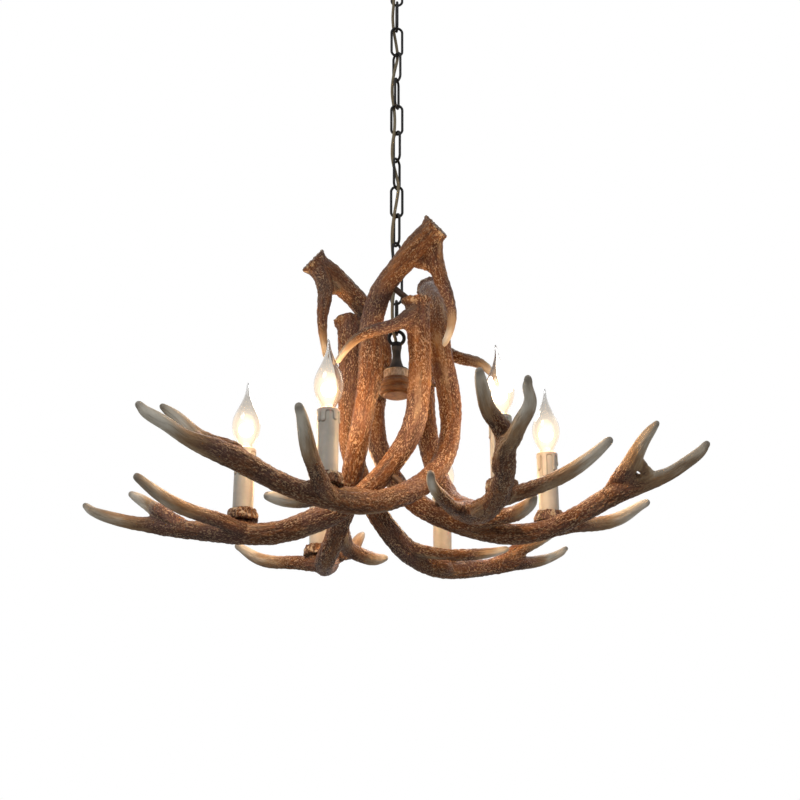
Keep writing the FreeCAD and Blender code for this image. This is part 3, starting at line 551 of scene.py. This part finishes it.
# x, y, height above the hub's underside and radius in millimetres, the candle on the front
antlerLimbs = {
    "tall": {
        "beam": [
            (21, 111.5, 197.5, 15.9), (25, 101.5, 189.5, 17.3), (30, 82.5, 177.5, 16.7),
            (37, 61, 161, 14.2), (48, 31, 128.5, 14.3), (53, 16.5, 73.5, 14.5), (60, 24.5, 15, 15.0),
            (65.5, 20.5, -35.5, 13.6), (63, -0.5, -88, 13.0), (49.5, -35.5, -128, 13.9),
            (32, -81, -155, 13.7), (12, -130, -173, 13.1), (-14, -179.5, -174.5, 12.4),
            (-47.5, -217.5, -163.5, 11.7), (-74.5, -252, -147.5, 13.0), (-98.5, -288.5, -137, 11.2),
            (-112, -311, -131.5, 8.2), (-124, -329, -121.5, 7.6), (-137.5, -342.5, -112.5, 6.5),
            (-146.5, -351.5, -102, 1.8),
        ],
        "fork": [
            (-76, -250, -147, 11.3), (-102.5, -260.5, -127.5, 10.2), (-124, -267.5, -117, 10.2),
            (-136.5, -274.5, -103, 8.2), (-149, -283, -90.5, 6.2), (-158.5, -290, -82.5, 1.8),
        ],
        "outer": [
            (-6.5, -168.5, -174, 10.7), (1, -212, -165.5, 9.9), (10.5, -243, -160.5, 9.1),
            (19.5, -274, -153, 8.9), (28, -302.5, -137.5, 7.2), (33.5, -327, -122, 1.8),
        ],
        "inner": [
            (38, -66, -146, 10.5), (23, -84, -157.5, 10.5), (-4.5, -116.5, -158.5, 10.7),
            (-31.5, -137.5, -160.5, 9.9), (-63.5, -143.5, -164, 9.2), (-83.5, -151, -161, 7.6),
            (-100, -153.5, -156, 1.8),
        ],
        "brow": [
            (20.5, 104, 186.5, 12.8), (15, 98.5, 170.5, 11.1), (4, 94, 142.5, 9.8), (-9, 96, 112, 8.0),
            (-13.5, 95.5, 78.5, 5.5), (-5, 90.5, 48, 1.8),
        ],
    },
    "short": {
        "beam": [
            (63, 16, 116, 15.0), (60.5, 18, 100, 15.1), (58.5, 19.5, 74, 14.6), (57, 21, 30, 14.0),
            (57.5, 19, -11, 14.2), (59.5, 12.5, -51, 13.9), (55.5, -7, -90, 13.0),
            (49.5, -33.5, -123.5, 13.2), (41.5, -65.5, -150, 14.0), (34, -103.5, -168, 14.9),
            (22, -143, -180, 13.7), (7.5, -185.5, -180, 13.2), (-12, -225.5, -173.5, 12.4),
            (-34.5, -259.5, -165.5, 11.6), (-55.5, -289.5, -156.5, 10.6), (-63.5, -311.5, -153, 8.9),
            (-71, -329, -148.5, 8.5), (-77.5, -349.5, -142, 7.8), (-88.5, -369, -133, 6.1),
            (-103.5, -384, -119.5, 1.8),
        ],
        "fork": [
            (-26, -247, -168.5, 10.6), (-46, -274.5, -152, 11.3), (-65.5, -291.5, -135.5, 10.2),
            (-84.5, -298, -126, 8.9), (-98.5, -308.5, -115.5, 8.0), (-110.5, -319.5, -106, 6.6),
            (-121, -330, -97.5, 1.6),
        ],
        "outer": [
            (18, -145, -180, 10.3), (5, -172, -181, 10.1), (24, -205, -173, 9.2),
            (38, -233.5, -167.5, 8.5), (49, -262.5, -160, 8.3), (60, -290.5, -146.5, 7.2),
            (69.5, -314.5, -130.5, 1.8),
        ],
        "inner": [
            (40, -76, -155, 10.0), (35, -96.5, -163, 9.9), (7.5, -114.5, -172, 8.5),
            (-15.5, -131, -174, 7.8), (-38.5, -148, -173, 7.6), (-61.5, -165.5, -169, 6.4),
            (-80, -186, -161, 1.8),
        ],
        "brow": [
            (61, 18.5, 103, 11.7), (72, 3.5, 86, 9.9), (83, -19.5, 68, 8.4), (91.5, -45, 55, 7.5),
            (95.5, -69.5, 36, 5.3), (96, -87.5, 9.5, 1.8),
        ],
    },
}

antlerForm = {
    # kind, turn in degrees, lift, lean of the burr end and sweep of the outer end in millimetres,
    # as the CAD antlers stand
    "seats": [
        ("tall", -23.6, -4.2, (-16, -7, 0), (1.4, 0.5, 0)),
        ("short", 33.8, -1.8, (0, 0, 0), (0, 0, 0)),
        ("tall", 94.7, -1.4, (-4, -0.6, 0), (0.9, -0.7, 3.3)),
        ("short", 154.9, -5.1, (0, 0, -6), (7.2, 0.8, 4.2)),
        ("tall", 216.9, -8.2, (-0.5, -0.3, -0.9), (3.7, -0.9, -3.1)),
        ("short", 278.5, -7.9, (0, 0, 0), (17.2, 0, -6.8)),
    ],
    "leanStart": 100.0, "leanHeight": 96.0, "sweepStart": 60.0, "sweepLength": 290.0,
    # all from here on in metres
    "voxel": 0.0011,
    "smoothing": 6,
    "webSmoothing": 60, "webReach": 0.010,  # how far round each crotch the surface is drawn into a web
    "sampleStep": 0.004, "thinnest": 0.0015,
    # how far the smooth pale horn and the greyer end reach from each limb's tip, and the burr down the beam
    "paleReach": {"beam": 0.135, "fork": 0.085, "outer": 0.115, "inner": 0.058, "brow": 0.055},
    "paleFull": 0.35,  # about the last quarter of the pale reach is pale throughout
    "tipEnd": 0.016, "burrStart": 0.003, "burrReach": 0.008,
    "limbBlend": 0.003,  # how far the paleness of two limbs runs together
    "limbStep": 0.37, "antlerStep": 1.7,  # shifts that give each limb and each antler its own pattern
    "relief": {"Bead Size": 0.0036, "Bead Height": 0.0007, "Ridge Size": 0.0075, "Ridge Height": 0.0022,
               "Swell Size": 0.045, "Swell Height": 0.0022, "Knob Size": 0.0050, "Knob Height": 0.0022},
}


def limbSamples(sections, place, lean, sweep):
    # points, directions and side vectors along one limb, evenly spaced, in metres
    rows = []
    for x, y, height, radius in sections:
        leanShare = max(0.0, (height - antlerForm["leanStart"]) / antlerForm["leanHeight"])
        sweepShare = max(0.0, (-y - antlerForm["sweepStart"]) / antlerForm["sweepLength"])
        shift = leanShare * np.array(lean) + sweepShare * np.array(sweep)
        rows.append(place(np.array((x, y, height)) + shift) + [radius / 1000])
    rows = np.array(rows)
    padded = np.vstack([2 * rows[0] - rows[1], rows, 2 * rows[-1] - rows[-2]])
    dense = []
    for a, b, c, d in zip(padded, padded[1:], padded[2:], padded[3:]):
        count = max(2, int(np.linalg.norm((c - b)[:3]) / antlerForm["sampleStep"]))
        for t in np.arange(count) / count:
            dense.append(0.5 * (2 * b + (c - a) * t + (2 * a - 5 * b + 4 * c - d) * t * t
                                + (3 * b - a - 3 * c + d) * t ** 3))
    dense = np.array(dense + [rows[-1]])
    points, radii = dense[:, :3], np.maximum(dense[:, 3], antlerForm["thinnest"])
    steps = np.diff(points, axis=0)
    arc = np.concatenate([[0.0], np.cumsum(np.linalg.norm(steps, axis=1))])
    runs = np.gradient(points, axis=0)
    runs /= np.linalg.norm(runs, axis=1)[:, None]
    side = np.cross(runs[0], (0.3, 0.2, 1.0))
    sides = []
    for run in runs:
        side = side - run * (side @ run)
        side = side / np.linalg.norm(side)
        sides.append(side)
    return points, runs, np.array(sides), radii, arc


def limbAttributes(points, limbs, shift):
    # each point's place in its nearest limb: across, across, along; how near it is to a tip, to the
    # burr and to a crotch
    form = antlerForm
    atOnce = 20000
    found = []
    for index, (name, limb) in enumerate(limbs.items()):
        centre, runs, sides, radii, arc = limbSamples(*limb)
        nearest = np.empty(len(points), int)
        for low in range(0, len(points), atOnce):
            chunk = points[low:low + atOnce]
            away = np.sqrt(np.maximum(0.0, (chunk ** 2).sum(1)[:, None] - 2 * chunk @ centre.T
                                      + (centre ** 2).sum(1)[None, :]))
            nearest[low:low + atOnce] = (away - radii[None, :]).argmin(1)
        offset = points - centre[nearest]
        gap = np.linalg.norm(offset, axis=1) - radii[nearest]
        along = arc[nearest] + (offset * runs[nearest]).sum(1)
        place = np.stack([(offset * sides[nearest]).sum(1),
                          (offset * np.cross(runs[nearest], sides[nearest])).sum(1),
                          along + form["limbStep"] * (index + 1) + shift], 1)
        slope = 1 + form["paleFull"]
        tip = np.clip(slope - slope * (arc[-1] - along) / form["paleReach"][name], 0.0, 1.0)
        burr = np.zeros(len(points))
        if name == "beam":
            burr = np.clip(1.0 - (along - form["burrStart"]) / form["burrReach"], 0.0, 1.0)
        end = np.clip(1.0 - (arc[-1] - along) / form["tipEnd"], 0.0, 1.0)
        found.append((gap, place, tip, burr, end))
    gaps = np.stack([f[0] for f in found])
    best = gaps.argmin(0)
    ordered = np.sort(gaps, axis=0)
    weights = np.exp(-(gaps - ordered[0]) / form["limbBlend"])
    weights /= weights.sum(0)
    rows = np.arange(len(points))
    web = np.clip(1.0 - (ordered[1] - ordered[0]) / form["webReach"], 0.0, 1.0)
    return {"limbPlace": np.stack([f[1] for f in found])[best, rows],
            "tipShare": (weights * np.stack([f[2] for f in found])).sum(0),
            "burrShare": np.stack([f[3] for f in found])[best, rows],
            "tipEnd": np.stack([f[4] for f in found])[best, rows]}, web


def drawWebs(piece, web):
    # the crotches eased into webs, in ten steps, the rest left as it is
    steps = 10
    group = piece.vertex_groups.new(name="web")
    levels = np.round(web * steps).astype(int)
    for level in range(1, steps + 1):
        chosen = np.nonzero(levels == level)[0]
        if len(chosen):
            group.add(chosen.tolist(), level / steps, "REPLACE")
    ease = piece.modifiers.new("web", "SMOOTH")
    ease.factor = 0.5
    ease.iterations = antlerForm["webSmoothing"]
    ease.vertex_group = "web"
    plainMesh(piece)
    piece.vertex_groups.clear()


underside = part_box("hub_cap")[0].z
for index, (kind, turn, lift, lean, sweep) in enumerate(antlerForm["seats"]):
    cosTurn, sinTurn = math.cos(math.radians(turn)), math.sin(math.radians(turn))

    def seated(point):
        x, y, height = point
        return [(x * cosTurn - y * sinTurn) / 1000, (x * sinTurn + y * cosTurn) / 1000,
                underside + (height + lift) / 1000]

    number = index + 1
    antler = remeshed("castAntler_%d" % number, "antler_%d" % number, antlerForm["voxel"],
                      antlerForm["smoothing"], antlerMaterial)
    limbs = {name: (sections, seated, lean, sweep) for name, sections in antlerLimbs[kind].items()}
    shares, web = limbAttributes(meshPoints(antler.data), limbs, antlerForm["antlerStep"] * number)
    setAttributes(antler.data, shares)
    drawWebs(antler, web)
    addRelief(antler, antlerForm["relief"], antlerMaterial)
    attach(antler, "fixture")
    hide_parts("antler_%d" % number)
print("antlers made")


# ---- candles: cup, sleeve with wax drips, lamp ----

cupForm = {
    "voxel": 0.0009, "smoothing": 4,
    # outside radius from the foot to the rim: the CAD node's, and the burr-like flare it is given
    "heights": [0.0, 0.157, 0.568, 0.8, 1.0],
    "cadRadii": [14.5, 17.1, 19.5, 19.5, 19.5], "radii": [19.3, 19.4, 18.6, 17.6, 16.2],
    "knobsFrom": 0.0135, "knobsFade": 0.002,  # from this radius outwards the cup is knobbly
    "patternStep": 3.1,  # a shift that gives each cup its own pattern
    "relief": {"Bead Size": 0.0030, "Bead Height": 0.0006, "Ridge Size": 0.0052, "Ridge Height": 0.0030,
               "Swell Size": 0.010, "Swell Height": 0.0016, "Knob Size": 0.0044, "Knob Height": 0.0022},
}

sleeveForm = {
    "radius": 0.0125, "wall": 0.0012, "sides": 168, "rows": 150, "shoulder": 0.0016, "rimDrop": 0.0002,
    "seed": 40, "drips": 7, "band": 0.0045, "dripWidth": (0.0034, 0.0062), "dripLength": (0.011, 0.034),
    "dripDepth": 0.0009, "archRadius": 0.003, "edgeFade": 0.0009,
    "edgeLine": 0.0003, "edgeWidth": 0.00055,  # where the dark line round the wax lies, and how wide it is
}

lampForm = {
    "radius": 0.0175, "wall": 0.0007, "sides": 64, "rings": 46, "bendFrom": 0.45,
    "bends": [0.0015, 0.0035, 0.001, 0.002, 0.0025, 0.0015],
    "bendTurns": [200.0, 205.0, 20.0, 140.0, 310.0, 100.0],
    "side": [(0.0, 0.457), (0.03, 0.50), (0.10, 0.66), (0.17, 0.84), (0.25, 0.96), (0.33, 1.0), (0.42, 0.955),
             (0.50, 0.83), (0.58, 0.655), (0.67, 0.455), (0.74, 0.32), (0.80, 0.22), (0.86, 0.15),
             (0.92, 0.11), (0.97, 0.085), (0.99, 0.06), (1.0, 0.02)],
    "glowShells": 6, "glowCentre": 0.27, "glowRadius": 0.0118, "glowHeight": 0.021,
    "glowSides": 28, "glowRings": 18, "glowFaint": 0.35,
    "light": 0.85, "lightColour": (1.0, 0.64, 0.34), "lightSize": 0.011,
}


def smoothCurve(pairs, count):
    # a smooth line through height and value pairs
    xs, ys = np.array(pairs).T
    slopes = np.gradient(ys, xs)
    t = np.linspace(xs[0], xs[-1], count)
    k = np.clip(np.searchsorted(xs, t, side="right") - 1, 0, len(xs) - 2)
    h = xs[k + 1] - xs[k]
    s = (t - xs[k]) / h
    return t, ((2 * s ** 3 - 3 * s ** 2 + 1) * ys[k] + (s ** 3 - 2 * s ** 2 + s) * h * slopes[k]
               + (3 * s ** 2 - 2 * s ** 3) * ys[k + 1] + (s ** 3 - s ** 2) * h * slopes[k + 1])


def makeCup(number):
    cup = remeshed("castCup_%d" % number, "candle_cup_%d" % number, cupForm["voxel"], cupForm["smoothing"],
                   antlerMaterial)
    points = meshPoints(cup.data)
    low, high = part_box("candle_cup_%d" % number)
    middle = np.array([(low.x + high.x) / 2, (low.y + high.y) / 2, low.z])
    place = points - middle
    share = np.interp(place[:, 2] / (high.z - low.z), cupForm["heights"],
                      np.array(cupForm["radii"]) / np.array(cupForm["cadRadii"]))
    place[:, :2] *= share[:, None]
    cup.data.vertices.foreach_set("co", (place + middle).astype(np.float32).ravel())
    away = np.hypot(place[:, 0], place[:, 1])
    outside = np.clip((away - cupForm["knobsFrom"]) / cupForm["knobsFade"], 0.0, 1.0)
    setAttributes(cup.data, {"limbPlace": place + (0, 0, cupForm["patternStep"] * number),
                             "tipShare": np.zeros(len(points)), "burrShare": outside})
    addRelief(cup, cupForm["relief"], cupMaterial)
    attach(cup, "fixture")
    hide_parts("candle_cup_%d" % number)


def makeSleeve(number):
    form = sleeveForm
    draw = random.Random(form["seed"] + number)
    low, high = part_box("candle_sleeve_%d" % number)
    height = high.z - low.z
    centre = Vector(((low.x + high.x) / 2, (low.y + high.y) / 2, low.z))
    angles = np.arange(form["sides"]) * 2 * math.pi / form["sides"]
    levels = np.linspace(0.0, height - form["shoulder"], form["rows"])
    around, up = np.meshgrid(angles, levels)
    below = height - up
    cover = below - form["band"]  # how far outside the wax a point lies
    beads = np.zeros_like(around)
    for drip in range(form["drips"]):
        turn = 2 * math.pi * (drip + draw.uniform(-0.3, 0.3)) / form["drips"]
        halfWidth = draw.uniform(*form["dripWidth"]) / 2
        length = draw.uniform(*form["dripLength"])
        away = np.abs((around - turn + math.pi) % (2 * math.pi) - math.pi) * form["radius"]
        drop = np.hypot(away, np.maximum(0.0, below - length)) - halfWidth
        arch = form["archRadius"]
        blend = np.clip(0.5 + 0.5 * (cover - drop) / arch, 0.0, 1.0)  # the two run together in an arch
        cover = cover * (1 - blend) + drop * blend - arch * blend * (1 - blend)
        beads = np.maximum(beads, np.exp(-(np.hypot(away, below - length) / (halfWidth * 0.9)) ** 2))
    body = np.clip(0.5 - cover / form["edgeFade"], 0.0, 1.0)
    body = body * body * (3 - 2 * body)
    depth = form["dripDepth"] * body * (1.0 + 0.6 * beads)
    edge = np.exp(-((cover - form["edgeLine"]) / form["edgeWidth"]) ** 2)
    sides = form["sides"]
    top = form["radius"] + depth
    rings = [np.stack([radii * np.cos(angles), radii * np.sin(angles), heights], 1)
             for radii, heights in zip(top, up)]
    edges = list(edge)
    for step in (0.35, 0.75, 1.0):  # rounded shoulder
        drop = form["shoulder"] * (1 - math.sqrt(1 - step ** 2))
        radii = top[-1] - drop * 0.9
        rings.append(np.stack([radii * np.cos(angles), radii * np.sin(angles),
                               np.full(sides, height - form["shoulder"] * (1 - step))], 1))
        edges.append(np.zeros(sides))
    bore = form["radius"] - form["wall"]
    for level in (height - form["rimDrop"], 0.0):
        rings.append(np.stack([bore * np.cos(angles), bore * np.sin(angles), np.full(sides, level)], 1))
        edges.append(np.zeros(sides))
    faces = ringFaces(len(rings), sides, False, False)
    last = (len(rings) - 1) * sides
    for side in range(sides):  # the bottom edge joins the bore to the outside
        following = (side + 1) % sides
        faces.append((last + side, last + following, following, side))
    sleeve = addMesh("candleSleeve_%d" % number, np.concatenate(rings) + np.array(centre), faces,
                     candleMaterial, attributes={"dripEdge": np.concatenate(edges)})
    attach(sleeve, "fixture")
    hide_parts("candle_sleeve_%d" % number)


def makeLamp(number):
    form = lampForm
    body = "bulb_%d" % number
    low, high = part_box("bulb_glass_%d" % number)
    centre = ((low.x + high.x) / 2, (low.y + high.y) / 2, low.z)
    length = high.z - low.z
    turn = math.radians(form["bendTurns"][number - 1])
    toward = np.array([math.cos(turn), math.sin(turn)])

    def bend(height):
        share = max(0.0, (height / length - form["bendFrom"]) / (1 - form["bendFrom"]))
        return toward * form["bends"][number - 1] * share ** 2

    heights, shares = smoothCurve(form["side"], form["rings"])
    outer = [(max(0.0004, share * form["radius"]), h * length) for h, share in zip(heights, shares)]
    # the inside starts a little higher and ends lower than the outside
    inner = [(max(0.0002, share * form["radius"] - form["wall"]), h * (length - 0.002) + 0.0004)
             for h, share in zip(heights, shares)]
    outline = outer + inner[::-1]
    glass = turnedPiece("lampGlass_%d" % number, outline, centre, form["sides"], glassMaterial,
                        {"lampHeight": list(heights) + list(heights[::-1])}, bend)
    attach(glass, body)
    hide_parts("bulb_glass_%d" % number)
    glass.visible_shadow = False

    # the glow is nested shells, each brighter than the one outside it
    points, faces, fades = [], [], []
    middle = np.array(centre) + (0, 0, form["glowCentre"] * length)
    sides, rings = form["glowSides"], form["glowRings"]
    for shell in range(form["glowShells"]):
        share = 1.0 - shell / (form["glowShells"] + 0.5)
        radius, tall = share * form["glowRadius"], share * form["glowHeight"]
        for ring in range(rings):
            polar = math.pi * (ring + 0.5) / rings
            for side in range(sides):
                angle = 2 * math.pi * side / sides
                points.append(middle + (radius * math.sin(polar) * math.cos(angle),
                                        radius * math.sin(polar) * math.sin(angle), -tall * math.cos(polar)))
                fades.append(form["glowFaint"] + (1 - form["glowFaint"]) * (1 - share))
        base = shell * rings * sides
        faces += [tuple(base + i for i in face) for face in ringFaces(rings, sides)]
    glowPiece = addMesh("lampGlow_%d" % number, points, faces, glowMaterial, attributes={"lampHeight": fades})
    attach(glowPiece, body)
    glowPiece.visible_shadow = False

    lightData = bpy.data.lights.new("lampLight_%d" % number, "POINT")
    lightData.energy = form["light"]
    lightData.color = form["lightColour"]
    lightData.shadow_soft_size = form["lightSize"]
    light = bpy.data.objects.new("lampLight_%d" % number, lightData)
    light.location = middle
    bpy.context.scene.collection.objects.link(light)


for number in range(1, 7):
    makeCup(number)
    makeSleeve(number)
    makeLamp(number)
print("candles made")


# ---- supply cord, bent between the links ----

cordForm = {
    "diameter": 0.0042, "sides": 18, "steps": 10, "endDrop": 0.062,
    "links": 13, "linkTop": -0.0468, "linkPitch": 0.04275, "linkMeanLength": 0.0463, "wire": 0.0035,
    "canopyLoop": -0.0412, "canopyHinge": -0.0509, "hubLoop": -0.6117,
    "bendReach": 0.009,  # a reach above and below each hinge, which nothing reads
    # millimetres from the chain's axis, beside each joint and beside the middle of each link
    "besideJoints": [
        (-4.9, -5.1), (-4.2, -4.6), (-4.7, 3.8), (1.6, 5.9), (-5.8, -1.8), (-3.7, 5.0), (-3.2, -5.3),
        (-6.2, -0.6), (3.0, -5.4), (-3.2, -5.3), (-6.2, 0.8), (-1.2, 6.0), (-5.6, -3.4), (-4.7, -5.6),
    ],
    "besideLinks": [
        (-5.2, -6.5), (-6.4, -0.6), (-0.9, 6.1), (-2.4, 2.4), (-7.0, 1.2), (-2.6, 0.4), (-6.3, -3.9),
        (-1.4, -2.8), (0.4, -6.3), (-6.0, -2.8), (-4.4, 4.2), (-3.0, 0.8), (-5.6, -4.9),
    ],
}


def cordRoute():
    form = cordForm
    route = [(0, 0, -0.0006), (0, 0, form["canopyLoop"] + 0.004),
             (-0.0027, -0.003, form["canopyLoop"] - 0.003)]
    for index, (x, y) in enumerate(form["besideJoints"]):
        top = form["linkTop"] - index * form["linkPitch"]
        if index < len(form["besideLinks"]):
            route.append((x / 1000, y / 1000, top - form["wire"] / 2))
            x, y = form["besideLinks"][index]
            route.append((x / 1000, y / 1000, top - form["linkMeanLength"] / 2))
        else:
            bottom = top + form["linkPitch"] - form["linkMeanLength"]
            route.append((x / 1000, y / 1000, bottom + form["wire"] / 2))
    route += [(-0.0030, -0.0035, form["hubLoop"] + 0.0023), (0, 0, form["hubLoop"] - 0.0046),
              (0, 0, form["hubLoop"] - form["endDrop"])]
    return route


def smoothLine(route, steps):
    curve = bpy.data.curves.new("route", "CURVE")
    curve.dimensions = "3D"
    curve.resolution_u = steps
    spline = curve.splines.new("NURBS")
    spline.points.add(len(route) - 1)
    for point, place in zip(spline.points, route):
        point.co = (*place, 1.0)
    spline.order_u = 3
    spline.use_endpoint_u = True
    holder = bpy.data.objects.new("route", curve)
    mesh = bpy.data.meshes.new_from_object(holder)
    line = meshPoints(mesh)
    bpy.data.objects.remove(holder)
    bpy.data.curves.remove(curve)
    bpy.data.meshes.remove(mesh)
    return line


def tubeAlong(name, line, start, radius, sides, material):
    runs = np.gradient(line, axis=0)
    runs /= np.linalg.norm(runs, axis=1)[:, None]
    arc = start + np.concatenate([[0.0], np.cumsum(np.linalg.norm(np.diff(line, axis=0), axis=1))])
    angles = np.arange(sides + 1) * 2 * math.pi / sides
    points, uv = [], []
    for place, run, along in zip(line, runs, arc):
        side = np.cross(run, (0.0, 1.0, 0.0))
        side /= np.linalg.norm(side)
        other = np.cross(run, side)
        points.append(place + radius * (np.outer(np.cos(angles), side) + np.outer(np.sin(angles), other)))
        uv.append(np.stack([angles / (2 * math.pi), np.full(sides + 1, along)], 1))
    faces = []
    for ring in range(len(line) - 1):
        for side in range(sides):
            a = ring * (sides + 1) + side
            faces.append((a, a + sides + 1, a + sides + 2, a + 1))
    faces.append(tuple(range(sides)))
    faces.append(tuple((len(line) - 1) * (sides + 1) + side for side in reversed(range(sides))))
    return addMesh(name, np.concatenate(points), faces, material, uv=np.concatenate(uv))


def makeCord():
    form = cordForm
    line = smoothLine(cordRoute(), form["steps"])
    arc = np.concatenate([[0.0], np.cumsum(np.linalg.norm(np.diff(line, axis=0), axis=1))])
    tops = [form["linkTop"] - k * form["linkPitch"] for k in range(form["links"])]
    hinges = [form["canopyHinge"]] + [top - form["linkMeanLength"] for top in tops]
    middles = [top - form["linkMeanLength"] / 2 for top in tops]
    cuts = [0] + [int(np.argmin(np.abs(line[:, 2] - z))) for z in middles] + [len(line) - 1]
    for k, hinge in enumerate(hinges):
        stretch = line[cuts[k]:cuts[k + 1] + 1]
        piece = tubeAlong("cordStretch_%02d" % (k + 1), stretch, arc[cuts[k]], form["diameter"] / 2,
                          form["sides"], cordMaterial)
        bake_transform(piece)
        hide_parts("supply_cord")


makeCord()
print("cord made")


# ---- finishes of the CAD nodes that stay ----

# material slot and finish
finishes = {
    "black_iron": "blackIron", "dark_iron": "darkIron", "bronze_band": "agedBronze",
    "hub_brown": "brownTurned", "zinc_steel": "zincSteel", "brown_steel": "brownSteel",
    "lampholder": "lampholderWhite", "lamp_cap": "lampCapNickel",
}
for row in frame["record"]["subparts"]:
    node = nodes[row["node"]]
    if row["material_slot"] in finishes:
        node.data.materials.clear()
        node.data.materials.append(metals[finishes[row["material_slot"]]])
print("finishes set")


# ---- floor, backdrop and studio light ----

stageForm = {
    "floor": -2.35, "half": 9.0, "colour": (0.86, 0.86, 0.85), "grain": 0.0001,
    "worldLevel": 0.15,  # the share of the white surroundings that lights the object
    # name, place, size and power
    "areas": [("keyLight", (-1.3, -1.7, 1.1), 1.4, 27.0), ("fillLight", (2.0, -1.8, 0.1), 1.6, 9.0),
              ("backLight", (0.4, 2.2, 0.9), 1.4, 24.0)],
    "aim": (0.0, 0.0, -0.72),
}


def makeStage():
    form = stageForm
    material, tree, shader = newMaterial("floorPaint", {
        "Base Color": (*form["colour"], 1.0), "Roughness": 0.8})
    wear = linkGroup(tree, patina, {"Vector": objectPlace(tree), "Blotch Size": 0.6, "Pit Size": 0.004})
    tree.links.new(bump(tree, wear.outputs["Pits"], form["grain"]), shader.inputs["Normal"])
    half, z = form["half"], form["floor"]
    floor = addMesh("floor", [(-half, -half, z), (half, -half, z), (half, half, z), (-half, half, z)],
                    [(0, 1, 2, 3)], material)
    for name, place, size, power in form["areas"]:
        data = bpy.data.lights.new(name, "AREA")
        data.shape = "DISK"
        data.size = size
        data.energy = power
        light = bpy.data.objects.new(name, data)
        light.location = place
        light.rotation_mode = "QUATERNION"
        light.rotation_quaternion = (Vector(form["aim"]) - Vector(place)).to_track_quat("-Z", "Y")
        bpy.context.scene.collection.objects.link(light)
    world = bpy.data.worlds.new("studio")
    bpy.context.scene.world = world
    world.use_nodes = True
    tree = world.node_tree
    background = tree.nodes["Background"]
    background.inputs["Color"].default_value = (1.0, 1.0, 1.0, 1.0)
    path = tree.nodes.new("ShaderNodeLightPath")
    seen = calc(tree, "MAXIMUM", path.outputs["Is Camera Ray"],
                calc(tree, "MAXIMUM", path.outputs["Is Glossy Ray"], path.outputs["Is Transmission Ray"]))
    tree.links.new(calc(tree, "MULTIPLY_ADD", seen, 1.0 - form["worldLevel"], form["worldLevel"]),
                   background.inputs["Strength"])


makeStage()
bpy.context.scene.view_settings.view_transform = "Standard"
print("stage made")
